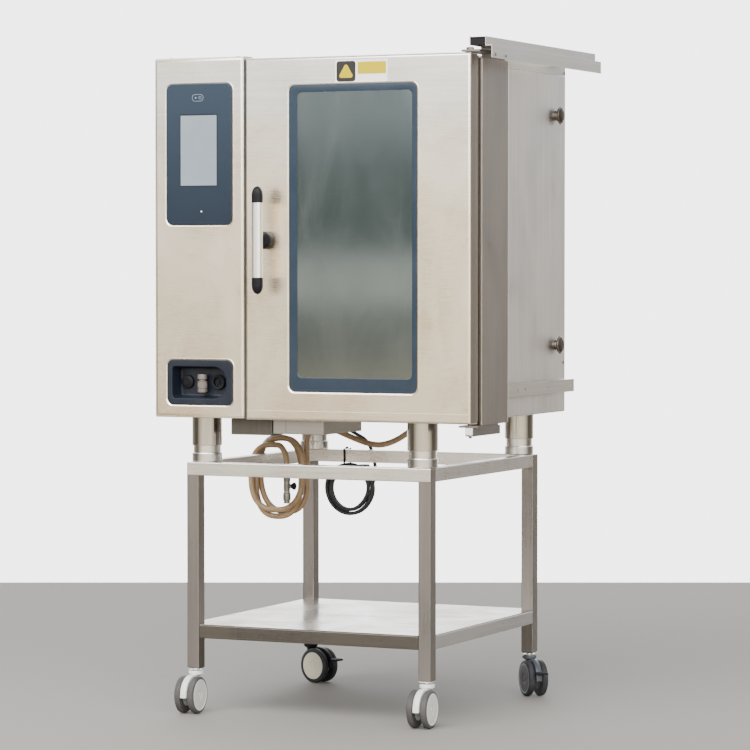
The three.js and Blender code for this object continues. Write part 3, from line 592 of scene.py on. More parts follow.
def merge_close(piece, distance=0.00001):
    tidy = bmesh.new()
    tidy.from_mesh(piece.data)
    bmesh.ops.remove_doubles(tidy, verts=tidy.verts, dist=distance)
    bmesh.ops.recalc_face_normals(tidy, faces=tidy.faces)
    tidy.to_mesh(piece.data)
    tidy.free()


def block(name, low, high, width=1.0, segments=3):
    """A box with rounded edges."""
    points = [(x, y, z) for x in (low[0], high[0]) for y in (low[1], high[1]) for z in (low[2], high[2])]
    faces = [(0, 1, 3, 2), (4, 6, 7, 5), (0, 4, 5, 1), (2, 3, 7, 6), (0, 2, 6, 4), (1, 5, 7, 3)]
    return soften(piece_from(name, points, faces), width, segments)


def wire(name, points, radius, sides=8, closed=False):
    """A round wire through the points, as a curve turned into a mesh."""
    curve = cord_curve(name, points, radius, sides, closed)
    mesh = bpy.data.meshes.new_from_object(curve.evaluated_get(bpy.context.evaluated_depsgraph_get()))
    bpy.data.objects.remove(curve)
    mesh.name = name
    piece = bpy.data.objects.new(name, mesh)
    bpy.context.collection.objects.link(piece)
    mesh.shade_smooth()
    return piece


def cord_curve(name, points, radius, sides=16, closed=False):
    data = bpy.data.curves.new(name, "CURVE")
    data.dimensions = "3D"
    data.bevel_depth = radius * MM
    data.bevel_resolution = max(1, sides // 4)
    data.use_fill_caps = True
    spline = data.splines.new("POLY")
    spline.points.add(len(points) - 1)
    for target, point in zip(spline.points, points):
        target.co = (*at(*point), 1)
    spline.use_smooth = True
    spline.use_cyclic_u = closed
    piece = bpy.data.objects.new(name, data)
    bpy.context.collection.objects.link(piece)
    return piece


def smooth_route(points, steps=8):
    """Catmull-Rom points through a given route."""
    points = [Vector(p) for p in points]
    route = []
    for i in range(len(points) - 1):
        before = points[i - 1] if i else points[i] * 2 - points[i + 1]
        start, end = points[i], points[i + 1]
        after = points[i + 2] if i + 2 < len(points) else end * 2 - start
        for step in range(steps):
            t = step / steps
            route.append(
                0.5 * (
                    2 * start + (end - before) * t + (2 * before - 5 * start + 4 * end - after) * t * t
                    + (3 * start - before - 3 * end + after) * t ** 3
                )
            )
    route.append(points[-1])
    return route


def join(name, pieces):
    """Merges pieces of one look into one object."""
    merged = bmesh.new()
    for piece in pieces:
        merged.from_mesh(piece.data)
        bpy.data.objects.remove(piece)
    mesh = bpy.data.meshes.new(name)
    merged.to_mesh(mesh)
    merged.free()
    whole = bpy.data.objects.new(name, mesh)
    bpy.context.collection.objects.link(whole)
    return whole


def assemble(name, parts, angle, body, look, nodes=()):
    """Joins parts of one look, smooths them and puts them on their body."""
    return dress(smooth(join(name, parts), angle), body, look, nodes)


# ---- cords ----------------------------------------------------------------------

HOSE_RADIUS = 8
HOSE_EXIT = (556, 505, 766)
HOSE_ROUTE = [
    HOSE_EXIT, (541, 505, 754.8), (521, 505, 741.2), (501, 505, 727.6), (480, 505, 714.6),
    (458, 505, 704.4), (437, 505, 698), (415, 505, 695.4), (388, 505, 698.6), (361, 505, 706),
    (331, 505, 716.6), (301, 505, 728), (272, 505, 738), (246, 505, 742.5), (222, 507, 739),
    (205, 511, 726), (195, 516, 706), (191, 521, 680), (190, 525, 650), (190, 526, 618.5)
]
HOOK = (246, 505, 742.5)
HOSE_LOOP = {"x": 116, "z": 602, "half_width": 74, "half_height": 105, "turns": 2.75}
HOSE_PITCH = 16.5
VALVE_PLACE = (158, 465)

CABLE_RADIUS = 5
CABLE_ROUTE = [
    (190, 700, 761.7), (190, 700, 757), (190.5, 702, 750), (194, 708, 743), (201, 718, 736), (212, 731, 727),
    (224, 745, 717), (237, 759, 706.5), (248, 773, 696), (256, 785, 683), (261, 792, 667), (266, 794.5, 648),
    (271, 795, 628), (275, 792, 608), (277, 785, 590),
]
CABLE_COIL = {"x": 206, "z": 553, "outer": 69.5, "inner": 58, "turns": 3.6}
CABLE_TAIL = [(161, 779, 595), (173, 786, 605.5), (188, 793, 609.5), (198, 796.5, 609.5), (206, 798, 609)]


def hose_loop_points():
    """Turns hung over the rail, each a little in front of the last and swaying from side to side."""
    x, z = HOSE_LOOP["x"], HOSE_LOOP["z"]
    steps = 28
    points = []
    for step in range(1, int(HOSE_LOOP["turns"] * steps) + 1):
        turn = step / steps
        shrink = max(0.0, turn - 1.6)
        sway = 10 * math.sin(1.4 * math.pi * turn)
        sink = 7 * math.sin(1.2 * math.pi * turn)
        points.append((
            x + sway + (HOSE_LOOP["half_width"] - 6 * shrink) * rounded_wave(math.cos(2 * math.pi * turn)),
            526 - HOSE_PITCH * turn,
            z + sink - (HOSE_LOOP["half_height"] - 10 * shrink) * rounded_wave(math.sin(2 * math.pi * turn)),
        ))
    return points


def rounded_wave(value):
    """A cosine or sine made squarer, so that the loop hangs like a rounded rectangle."""
    return math.copysign(abs(value) ** 0.8, value)


def route_length(points):
    return sum((Vector(b) - Vector(a)).length for a, b in zip(points, points[1:])) * MM


def add_hose():
    x, y = VALVE_PLACE
    route = smooth_route(HOSE_ROUTE[:-1] + hose_loop_points() + [
        (133, 475, 687), (150, 470, 668), (157, 466, 645), (158, 465, 622), (x, y, 600.3),
    ], 4)
    hose = cord_curve("water_hose", route, HOSE_RADIUS, 24)
    dress(hose, "cabinet", "hose", ("hose_run", "hose_coil"))

    body = lathe(
        "hose_valve_body", "z", (x, y, 0),
        [
            (530, 0), (530, 7), (531, 8.4), (538, 8.4), (539, 9.8), (541, 10.5), (556, 10.5), (558, 9.6),
            (560, 8.6), (566, 8.2), (568, 8.9), (588, 8.9), (590, 8.2), (592, 9.6), (599, 9.6),
            (600.3, 8.4), (600.3, 0)
        ],
        40
    )
    smooth(body)
    stem = lathe(
        "hose_valve_stem", "x", (x, y, 578), [(8, 0), (8, 5.6), (14, 5.6), (15, 4), (18, 4), (18, 0)], 24
    )
    smooth(stem)
    clamp = lathe(
        "hose_clamp", "z", (x, y, 0), [(603, 8.2), (603, 9.4), (611, 9.4), (611, 8.2), (603, 8.2)], 40
    )
    smooth(clamp)
    valve = join("hose_valve_metal", [body, stem, clamp])
    dress(smooth(valve, 35), "cabinet", "brass", ("hose_valve",))
    wheel = star_wheel("hose_valve_wheel", (x + 17, y, 578), 10.6, 8.2, 9, 5)
    dress(wheel, "cabinet", "black")
    print("hose length", round(route_length(route), 3))


def star_wheel(name, centre, outer, inner, thick, lobes):
    """A handwheel with round lobes, turned about x."""
    x, y, z = centre
    rings = []
    for along, scale in ((0, 0.86), (1.2, 1.0), (thick - 1.2, 1.0), (thick, 0.84)):
        ring = []
        for side in range(lobes * 10):
            angle = 2 * math.pi * side / (lobes * 10)
            radius = scale * (inner + (outer - inner) * (0.5 + 0.5 * math.cos(lobes * angle)))
            ring.append((x + along, y + radius * math.cos(angle), z + radius * math.sin(angle)))
        rings.append(ring)
    piece = loft(name, rings)
    return smooth(piece, 35)


def cable_coil_points():
    """Two layers wound clockwise: the outer one comes forward, the inner one goes back."""
    x, z = CABLE_COIL["x"], CABLE_COIL["z"]
    steps = 30
    start = math.radians(14)
    total = CABLE_COIL["turns"]
    points = []
    for step in range(int(total * steps) + 1):
        turn = step / steps
        angle = start - 2 * math.pi * turn
        change = min(1.0, max(0.0, (turn - 1.85) / 0.3))
        radius = CABLE_COIL["outer"] + (CABLE_COIL["inner"] - CABLE_COIL["outer"]) * change
        radius += 0.8 * math.sin(3 * angle)
        y = 778 - 10.6 * min(turn, 2.0) + 10.6 * max(0.0, turn - 2.0)
        points.append((x + radius * math.cos(angle), y, z + radius * math.sin(angle)))
    return points


def add_cable():
    coil = cable_coil_points()
    route = smooth_route(CABLE_ROUTE + coil + CABLE_TAIL, 3)
    cable = cord_curve("power_cable", route, CABLE_RADIUS, 16)
    dress(cable, "cabinet", "cable", ("cable_run", "cable_coil"))
    print("cable length", round(route_length(route), 3))

    body = loft(
        "plug_body",
        [
            plug_ring(216, 6.5, 6.5), plug_ring(219, 10.5, 10), plug_ring(226, 12.4, 12.4),
            plug_ring(243, 12.8, 12.8), plug_ring(248, 12.6, 12.6), plug_ring(250, 11.6, 11.6)
        ]
    )
    smooth(body, 40)
    relief = lathe("plug_relief", "x", (0, 798, 609), ribbed(207, 217, 5.6, 7.4, 3), 24)
    smooth(relief)
    plug = join("plug_shell", [body, relief])
    dress(smooth(plug, 40), "cabinet", "cable", ("cable_plug",))
    blades = join("plug_blades", [
        block("blade_a", (249.5, 793.2, 605), (265, 794.8, 613), 0.5, 2),
        block("blade_b", (249.5, 801.2, 605), (265, 802.8, 613), 0.5, 2),
    ])
    dress(smooth(blades), "cabinet", "brass")

    low, high = local_box("cable_tie")
    tie = join("cable_tie_strap", [
        block("tie_front", (low.x, low.y, low.z), (high.x, low.y + 1.6, high.z), 0.7),
        block("tie_back", (low.x, high.y - 1.6, low.z), (high.x, high.y, high.z), 0.7),
        block("tie_top", (low.x, low.y, high.z - 1.6), (high.x, high.y, high.z), 0.7),
        block("tie_bottom", (low.x, low.y, low.z), (high.x, high.y, low.z + 1.6), 0.7),
        block("tie_lock", (low.x - 1, 760, high.z - 0.6), (high.x + 1, 766, high.z + 4.5), 0.8),
    ])
    dress(smooth(tie), "cabinet", "black", ("cable_tie",))

    relief = sleeve_along("gland_relief", route[:9], 8.2, 5.7)
    dress(relief, "cabinet", "black")


def plug_ring(x, half_y, half_z):
    return [
        (x, 798 + y, 609 + z)
        for y, z in outline(-half_y, half_y, -half_z, half_z, min(half_y, half_z) * 0.6, 6)
    ]


def ribbed(start, end, r0, r1, ribs):
    """The profile of a tapered, ribbed strain relief."""
    profile = [(start, 0), (start, r0)]
    for rib in range(ribs):
        at_rib = start + (end - start) * rib / ribs
        radius = r0 + (r1 - r0) * rib / ribs
        width = (end - start) / ribs
        profile += [(at_rib + width * 0.2, radius + 0.7), (at_rib + width * 0.7, radius + 0.7),
                    (at_rib + width * 0.85, radius)]
    return profile + [(end, r1), (end, 0)]


def sleeve_along(name, route, r0, r1, sides=20):
    """A tapered, ribbed sleeve round the first stretch of a cord."""
    rings = []
    last = len(route) - 1
    for index, point in enumerate(route):
        ahead = Vector(route[min(index + 1, last)]) - Vector(route[max(index - 1, 0)])
        turn = ahead.to_track_quat("Z", "Y")
        radius = r0 + (r1 - r0) * index / last + (0.8 if index % 2 else 0.0)
        rings.append([
            tuple(Vector(point) + turn @ Vector((radius * math.cos(a), radius * math.sin(a), 0)))
            for a in (2 * math.pi * side / sides for side in range(sides))
        ])
    piece = loft(name, rings)
    return smooth(piece, 50)


# ---- casing, column and panel -----------------------------------------------------

def screw(name, centre, axis, radius=3.4, height=1.8):
    """A low round screw head with a slot ring."""
    sign = -1 if axis.startswith("-") else 1
    profile = [
        (0, 0), (0, radius), (height * 0.5, radius), (height * 0.85, radius * 0.8), (height, radius * 0.5),
        (height, radius * 0.34), (height * 0.4, radius * 0.3), (height * 0.4, 0)
    ]
    head = lathe(name, axis[-1], centre, [(sign * along, r) for along, r in profile], 20)
    return smooth(head, 35)


def add_casing():
    for node, look in (("casing_left", "side"), ("casing_right", "side"), ("casing_top", "roof"),
                       ("casing_rear", "side")):
        dress(refined(node, node + "_sheet", 0.7), "cabinet", look, (node,))

    vent_low, vent_high = local_box("exhaust_vent")
    cx, cy = (vent_low.x + vent_high.x) / 2, (vent_low.y + vent_high.y) / 2
    vent = lathe(
        "exhaust_vent_pipe", "z", (cx, cy, 0),
        [
            (vent_low.z, 19), (vent_high.z - 0.5, 19), (vent_high.z, 19.6), (vent_high.z, 20.4),
            (vent_high.z - 0.6, 21), (1731, 21), (1729.2, 24), (1728.8, 33), (1728, 34), (1726.3, 34),
            (1726.3, 21.6), (vent_low.z, 21), (vent_low.z, 19)
        ]
    )
    merge_close(vent)
    dress(smooth(vent, 40), "cabinet", "bright", ("exhaust_vent",))

    screws = [
        screw("side_screw", (849, 783, 919), "x", 4.6, 1.6),
        screw("strip_screw", (849, 786, 1712), "x", 4.6, 1.6)
    ]
    for y in (120, 330, 560, 770):
        for z in (800, 1694):
            screws.append(screw("panel_screw", (0, y, z), "-x", 3.4, 1.5))
    for x in (30, 250, 480, 700, 820):
        for z in (812, 1696):
            screws.append(screw("rear_screw", (x, 793, z), "y", 3.4, 1.5))
    assemble("casing_screws", screws, 35, "cabinet", "dark_metal")


def add_column():
    dress(
        refined("column_front", "column_shell", 1.4, 3, roll=11), "cabinet", "front",
        ("column_front",)
    )

    # Painted shade: a dark strip in the gap between the column and the door.
    strip = block("column_gap_shade_strip", (265.8, 4, 786), (269.4, 44, 1720), 0.8)
    dress(strip, "cabinet", "gasket")

    low, high = local_box("control_bezel")
    screen_low, screen_high = local_box("display")
    bezel = plate("panel_foil", low.x, high.x, low.y, -0.3, low.z, high.z, 18, 0.7)
    dress(bezel, "cabinet", "panel", ("control_bezel",))
    rim = rolled_lip("panel_rim", low.x, high.x, low.z, high.z, 18)
    dress(rim, "cabinet", "front")

    screen = plate("touch_screen", screen_low.x, screen_high.x, low.y - 0.25, low.y + 0.4, screen_low.z,
                   screen_high.z, 1.2, 0.2, 4)
    dress(screen, "cabinet", "screen", ("display",))
    surround = frame_ring(
        "screen_surround",
        outline(screen_low.x - 2.4, screen_high.x + 2.4, screen_low.z - 2.4, screen_high.z + 4, 2, 6),
        outline(screen_low.x, screen_high.x, screen_low.z, screen_high.z, 1.2, 6), low.y - 0.3, low.y + 0.3,
        0.15
    )
    dress(surround, "cabinet", "tub")

    key_low, key_high = local_box("power_button")
    middle = (key_low + key_high) / 2
    half_height = (key_high.z - key_low.z) / 2
    key = plate(
        "power_key", key_low.x, key_high.x, key_low.y, key_high.y, key_low.z, key_high.z, half_height - 0.3,
        0.8
    )
    dress(key, "power_button", "panel", ("power_button",))
    border = frame_ring(
        "key_border",
        outline(key_low.x + 0.8, key_high.x - 0.8, key_low.z + 0.8, key_high.z - 0.8, half_height - 1.2),
        outline(key_low.x + 1.8, key_high.x - 1.8, key_low.z + 1.8, key_high.z - 1.8, half_height - 2),
        key_low.y - 0.2, key_low.y + 0.3, 0.1
    )
    symbol = lathe("key_symbol", "y", (middle.x + 7, 0, middle.z), [
        (key_low.y - 0.2, 3.0), (key_low.y - 0.2, 4.0), (key_low.y + 0.4, 4.0), (key_low.y + 0.4, 3.0),
        (key_low.y - 0.2, 3.0)], 32)
    dot = lathe("key_dot", "y", (middle.x - 6, 0, middle.z), [(key_low.y - 0.2, 0), (key_low.y - 0.2, 2.2),
                                                            (key_low.y + 0.4, 2.2), (key_low.y + 0.4, 0)], 24)
    assemble("key_print", [border, symbol, dot], 35, "power_button", "ink")

    lamp = lathe("status_lamp", "y", (142, 0, 1326), [(low.y - 0.5, 0), (low.y - 0.4, 1.4), (low.y, 2.1),
                                                     (low.y + 0.4, 2.1), (low.y + 0.4, 0)], 20)
    dress(smooth(lamp, 50), "cabinet", "lamp")

    tops = [screw("column_screw", (x, 24, 1729), "z", 3.6, 2.2) for x in (40, 236)]
    assemble("column_screws", tops, 35, "cabinet", "dark_metal")


def add_hose_recess():
    low, high = local_box("recess_tub")
    middle = (low.z + high.z) / 2
    tub = {"x0": 55, "x1": 213, "z0": 837, "z1": 919}

    def shape(grow, radius, right):
        return outline(
            tub["x0"] - grow, tub["x1"] + grow, tub["z0"] - grow, tub["z1"] + grow, radius, 12, right
        )

    flange = outline(low.x, high.x, low.z, high.z, 17, 12)
    flange_in = outline(low.x + 1.6, high.x - 1.6, low.z + 1.6, high.z - 1.6, 15.4, 12)
    rings = [
        ring_at(flange, -0.3), ring_at(flange, low.y + 1.4),
        ring_at(blend_outline(flange, flange_in, 0.35), low.y + 0.4), ring_at(flange_in, low.y),
        ring_at(shape(3.5, 10, 40), low.y), ring_at(shape(1.2, 9, 38), low.y + 0.6),
        ring_at(shape(0, 8.5, 37), low.y + 2.5), ring_at(shape(-1.5, 8, 36), 20),
        ring_at(shape(-3, 8, 35), high.y - 8), ring_at(shape(-5, 7, 33), high.y - 4),
        ring_at(shape(-9, 6, 30), high.y - 3), ring_at(shape(-9, 6, 30), high.y),
        ring_at(shape(2.5, 10, 38), high.y), ring_at(shape(2.5, 10, 38), -0.3)
    ]
    shell = loft("recess_shell", rings + [rings[0]], closed_ends=False)
    merge_close(shell)
    floor = plate(
        "recess_back", tub["x0"] + 8, tub["x1"] - 8, high.y - 3.2, high.y - 0.2, tub["z0"] + 8,
        tub["z1"] - 8, 6, 0.3, 6
    )
    assemble("recess_moulding", [shell, floor], 35, "cabinet", "tub", ("recess_tub",))
    rim = rolled_lip("recess_rim", low.x, high.x, low.z, high.z, 17)
    dress(rim, "cabinet", "front")

    cap = lathe(
        "blank_cap", "y", (80, 0, middle),
        [
            (29, 0), (29, 9), (29.6, 9.6), (30.2, 9.6), (31, 15.5), (32, 17.2), (33.6, 18),
            (high.y - 3, 18.4), (high.y - 3, 0)
        ],
        48
    )
    smooth(cap, 30)
    outlet = lathe(
        "outlet_ring", "y", (172, 0, middle),
        [
            (31.5, 12.5), (30, 13.4), (29.4, 15), (29.4, 18), (30.4, 19.4), (32, 20), (high.y - 3, 20),
            (high.y - 3, 12.5), (31.5, 12.5)
        ],
        48
    )
    merge_close(outlet)
    smooth(outlet, 30)
    spokes = [lathe("outlet_hub", "y", (172, 0, middle), [(33, 0), (33, 3.4), (34, 4.4), (high.y - 3, 4.4),
                                                         (high.y - 3, 0)], 24)]
    for spoke in range(6):
        bar = block("outlet_spoke", (3, 34, -0.8), (13, 36, 0.8), 0.4, 2)
        bar.data.transform(Matrix.Translation(-ORIGIN))
        bar.data.transform(
            Matrix.Translation(at(172, 0, middle)) @ Matrix.Rotation(spoke * math.pi / 3, 4, "Y")
        )
        spokes.append(bar)
    assemble("recess_fittings", [cap, outlet] + spokes, 32, "cabinet", "black")

    coupling_low, coupling_high = local_box("coupling_body")
    axis = (132, 20)
    base, top = coupling_low.z, coupling_high.z
    body = lathe(
        "coupling_nipple", "z", (*axis, 0),
        [
            (base, 0), (base, 6), (base, 11.4), (base + 1, 12.4), (base + 2.2, 12.8), (base + 9.4, 12.8),
            (base + 10.2, 12.2), (base + 10.7, 11.4), (base + 10.7, 9), (top - 13, 9), (top - 13, 12.2),
            (top - 12, 12.8), (top - 2, 12.8), (top - 0.6, 12.2), (top, 11), (top, 6.5), (top - 4, 6),
            (top - 4, 0)
        ],
        56
    )
    arm = lathe(
        "coupling_arm", "y", (132, 0, 856),
        [
            (20, 0), (20, 5), (30, 5), (31, 7.5), (34, 7.5), (35, 5.2), (high.y - 3.2, 5.2),
            (high.y - 3.2, 0)
        ],
        28
    )
    assemble("coupling_metal", [body, arm], 32, "cabinet", "coupling", ("coupling_body",))
    sleeve_low, sleeve_high = local_box("coupling_sleeve")
    sleeve = knurled("coupling_ring", axis, sleeve_low.z, sleeve_high.z, 9.5, 12.9)
    dress(sleeve, "coupling_sleeve", "coupling", ("coupling_sleeve",))


def knurled(name, axis, z0, z1, inner, outer, teeth=30):
    """A ring with ribs round its outside."""
    sides = teeth * 4
    rings = []
    for z, radius, rib in (
        (z0, inner, 0), (z0, outer - 1, 0), (z0 + 1, outer - 0.2, 0), (z0 + 3, outer - 0.3, 0.3),
        (z1 - 5, outer - 0.3, 0.3), (z1 - 4, outer - 0.9, 0), (z1 - 2.6, outer - 0.2, 0),
        (z1 - 0.8, outer, 0), (z1, outer - 0.8, 0), (z1, inner, 0)
    ):
        ring = []
        for side in range(sides):
            angle = 2 * math.pi * side / sides
            bump = rib * (1 if side % 4 in (0, 1) else -1)
            ring.append(
                (
                    axis[0] + (radius + bump) * math.cos(angle),
                    axis[1] + (radius + bump) * math.sin(angle), z
                )
            )
        rings.append(ring)
    piece = loft(name, rings + [rings[0]], closed_ends=False)
    merge_close(piece)
    return smooth(piece, 35)


# ---- door -------------------------------------------------------------------------

def add_door():
    dress(refined("door_shell", "door_skin", 1.2, 3, roll=7), "door", "front", ("door_shell",))
    dress(refined("door_liner", "door_inner_skin", 0.5), "door", "liner", ("door_liner",))

    low, high = local_box("outer_glass")
    opening = outline(low.x, high.x, low.z, high.z, 17)
    clear = (419, 745, 895, 1631)
    clear_shape = outline(*clear, 14)
    pane = plate("outer_pane", clear[0], clear[1], low.y + 1.2, high.y, clear[2], clear[3], 14, 0.3)
    dress(pane, "door", "pane", ("outer_glass",))
    border = frame_ring("pane_border", opening, clear_shape, low.y, high.y, 0.4)
    dress(border, "door", "print")
    inner_edge = frame_ring(
        "pane_inner_line", outline(clear[0] - 0.2, clear[1] + 0.2, clear[2] - 0.2, clear[3] + 0.2, 14),
        outline(clear[0] + 5, clear[1] - 5, clear[2] + 5, clear[3] - 5, 10), high.y + 0.2, high.y + 1.4, 0.3
    )
    dress(inner_edge, "door", "black")
    lip = rolled_lip("window_lip", low.x, high.x, low.z, high.z, 17, 4)
    dress(lip, "door", "front")

    inner_low, inner_high = local_box("inner_glass")
    inner = plate(
        "inner_pane", inner_low.x, inner_high.x, inner_low.y, inner_high.y, inner_low.z, inner_high.z, 16,
        0.5
    )
    dress(inner, "door", "inner_pane", ("inner_glass",))

    shell_low, shell_high = local_box("door_shell")
    # Painted shade: a dark steel strip over the door's right side face.
    edge = block(
        "door_side_shade_strip", (shell_high.x - 0.4, 2.5, shell_low.z + 3),
        (shell_high.x + 0.4, 43, shell_high.z - 3), 0.3, 2
    )
    dress(edge, "door", "post")
    fold = block(
        "door_rear_fold", (shell_high.x - 7, 46.3, shell_low.z + 6),
        (shell_high.x + 0.2, 50, shell_high.z - 6), 0.7
    )
    dress(fold, "door", "post")
    crease = block(
        "door_bottom_crease", (shell_low.x + 3, -0.35, 806.6), (shell_high.x - 3, 0.6, 808.2), 0.3, 2
    )
    dress(crease, "door", "front")
    add_label()


def add_label():
    """A plain sticker above the window: blank coloured areas only."""
    x0, x1, z0, z1 = 529, 677, 1652, 1711
    base = plate("label_base", x0, x1, -0.5, 0.2, z0, z1, 3, 0.15, 5)
    dress(base, "door", "label_white")
    dark = plate("label_square", x0 + 4, x0 + 58, -0.7, -0.45, z0 + 3, z1 - 3, 8, 0.08, 5)
    dress(dark, "door", "label_dark")
    triangle = [(x0 + 31 + r * math.sin(a), z0 + 26 + r * math.cos(a)) for a, r in
                ((math.radians(120 * corner + turn), reach) for corner in range(3)
                 for turn, reach in ((-12, 19.5), (0, 21), (12, 19.5)))]
    sign = loft("label_triangle", [ring_at(triangle, -0.9), ring_at(triangle, -0.65)])
    stripe = plate("label_stripe", x0 + 64, x1 - 4, -0.7, -0.45, z0 + 22, z1 - 6, 2, 0.08, 4)
    yellow = join("label_yellow_areas", [sign, stripe])
    dress(yellow, "door", "label_yellow")


def superellipse(cx, cy, half_x, half_y, z, power=0.6, sides=48):
    ring = []
    for side in range(sides):
        angle = 2 * math.pi * side / sides
        u = math.copysign(abs(math.cos(angle)) ** power, math.cos(angle))
        v = math.copysign(abs(math.sin(angle)) ** power, math.sin(angle))
        ring.append((cx + half_x * u, cy + half_y * v, z))
    return ring


def add_handle():
    low, high = local_box("handle_core")
    grip_low, grip_high = local_box("handle_grip")
    cx = (grip_low.x + grip_high.x) / 2
    cy = (grip_low.y + grip_high.y) / 2
    half_x = (grip_high.x - grip_low.x) / 2
    half_y = (grip_high.y - grip_low.y) / 2

    def cap(name, start, end, tip):
        """A rounded end cap from the grip out to the tip."""
        rings = []
        for step in range(13):
            t = step / 12
            z = start + (end - start) * t
            fall = math.sqrt(max(0.0, 1 - max(0.0, (t - tip) / (1 - tip)) ** 2))
            shrink = max(fall, 0.12)
            rings.append(
                superellipse(
                    cx, cy + (1 - shrink) * 1.5, (half_x + 0.6) * shrink, (half_y + 0.6) * shrink, z, 0.7
                )
            )
        return loft(name, rings)

    upper = cap("handle_cap_upper", grip_high.z + 0.2, high.z, 0.45)
    lower = cap("handle_cap_lower", grip_low.z - 0.2, low.z, 0.45)
    rod = loft(
        "handle_rod",
        [superellipse(cx, cy, half_x - 3, half_y - 3, z) for z in (grip_low.z - 1, grip_high.z + 1)]
    )
    stem_rings = []
    for y, half_w, half_h in (
        (grip_high.y - 5, 11, 18), (-42, 12.5, 20), (-36, 16, 21.5), (-31, 20.5, 22.8), (-25, 22, 23),
        (-8, 22, 23), (-3, 21.4, 22.4), (-1.2, 20, 21)
    ):
        stem_rings.append(
            ring_at(
                outline(
                    cx - half_w, cx + half_w, HANDLE_HEIGHT - half_h, HANDLE_HEIGHT + half_h, half_w * 0.9,
                    8
                ),
                y
            )
        )
    stem = loft("handle_stem", stem_rings)
    shaft = lathe("handle_shaft", "y", (cx, 0, HANDLE_HEIGHT), [(-2, 0), (-2, 8.9), (48, 8.9), (48, 0)], 32)
    assemble(
        "handle_body", [upper, lower, rod, stem, shaft], 38, "handle", "black",
        ("handle_core",)
    )

    rings = []
    for inset, z in ((2.4, grip_low.z), (0.7, grip_low.z), (0, grip_low.z + 0.8), (0, grip_high.z - 0.8),
                     (0.7, grip_high.z), (2.4, grip_high.z)):
        rings.append(superellipse(cx, cy, half_x - inset, half_y - inset, z, 0.62))
    grip = loft("handle_grip_sleeve", rings + [rings[0]], closed_ends=False)
    merge_close(grip)
    dress(smooth(grip, 35), "handle", "grip", ("handle_grip",))
    dress(refined("door_latch", "latch_cam", 0.6), "handle", "dark_metal", ("door_latch",))


# ---- carriage and rails --------------------------------------------------------------

def add_carriage():
    dress(
        refined("carriage_post", "carriage_post_sheet", 0.7), "cabinet", "post",
        ("carriage_post",)
    )
    dress(
        refined("hinge_arm_top", "hinge_arm_upper", 0.6), "cabinet", "dark_metal",
        ("hinge_arm_top",)
    )
    dress(refined("hinge_arm_bottom", "hinge_arm_lower", 0.6), "cabinet", "dark_metal",
          ("hinge_arm_bottom",))
    dress(refined("top_rail", "top_rail_sheet", 0.6), "cabinet", "rail", ("top_rail",))
    dress(refined("guide_rail", "guide_bar", 0.7), "cabinet", "rail", ("guide_rail",))

    # A black block fills the top rail's open end.
    plug = block("rail_end_black_block", (900.6, 12, 1739.6), (943.6, 15, 1759.4), 0.8)
    dress(plug, "cabinet", "black")
    screws = [screw("rail_screw", (962, y, 1716), "x", 4.2, 2.2) for y in (30, 98)]
    screws += [screw("bracket_screw", (x, y + 20, 1729.3), "z", 4, 2) for x in (820, 860) for y in (300, 700)]
    screws.append(screw("arm_bolt", (907, 0, 753), "-y", 5, 2.6))
    assemble("carriage_screws", screws, 35, "cabinet", "dark_metal")

    post_low, post_high = local_box("carriage_post")
    # Painted highlight: bright metal strips along the post's folded edges.
    edges = [
        block(
            "post_edge_highlight", (post_high.x - 1.6, y - 1, post_low.z + 1),
            (post_high.x + 0.5, y + 1, post_high.z - 1), 0.6
        )
        for y in (post_low.y + 0.8, post_high.y - 0.8)
    ]
    assemble("post_fold_highlights", edges, 30, "cabinet", "bright")
    shoe = block("arm_shoe", (894, -2, 756), (913.5, 16, 774), 1.6)
    dress(shoe, "cabinet", "white")

    for node in ("bumper_upper", "bumper_lower"):
        add_bumper(node)


def add_bumper(node):
    """A short steel stem with a wide, eight-sided rubber head behind a thin ring."""
    low, high = local_box(node)
    centre = (low.x, (low.y + high.y) / 2, (low.z + high.z) / 2)
    stem = lathe(
        node + "_stem", "x", centre, [(0, 0), (0, 14), (1.4, 14), (1.8, 12.4), (7.4, 12.4), (7.4, 0)], 40
    )
    smooth(stem, 30)
    head = lathe(
        node + "_head", "x", centre,
        [
            (6.9, 0), (6.9, 15), (7.4, 16.4), (11, 23.8), (12.2, 24.8), (13.4, 24), (19, 15.6), (20.2, 14),
            (20.7, 12), (20.7, 0)
        ],
        8
    )
    smooth(head, 20)
    ring = lathe(
        node + "_ring", "x", centre, [(13.9, 20), (13.9, 22.9), (14.6, 22.6), (15.3, 21.6), (15.3, 19.4)],
        48
    )
    smooth(ring, 30)
    assemble(node + "_metal", [stem, ring], 30, "cabinet", "post", (node,))
    dress(head, "cabinet", "bronze")


# ---- base, feet and stand -------------------------------------------------------------

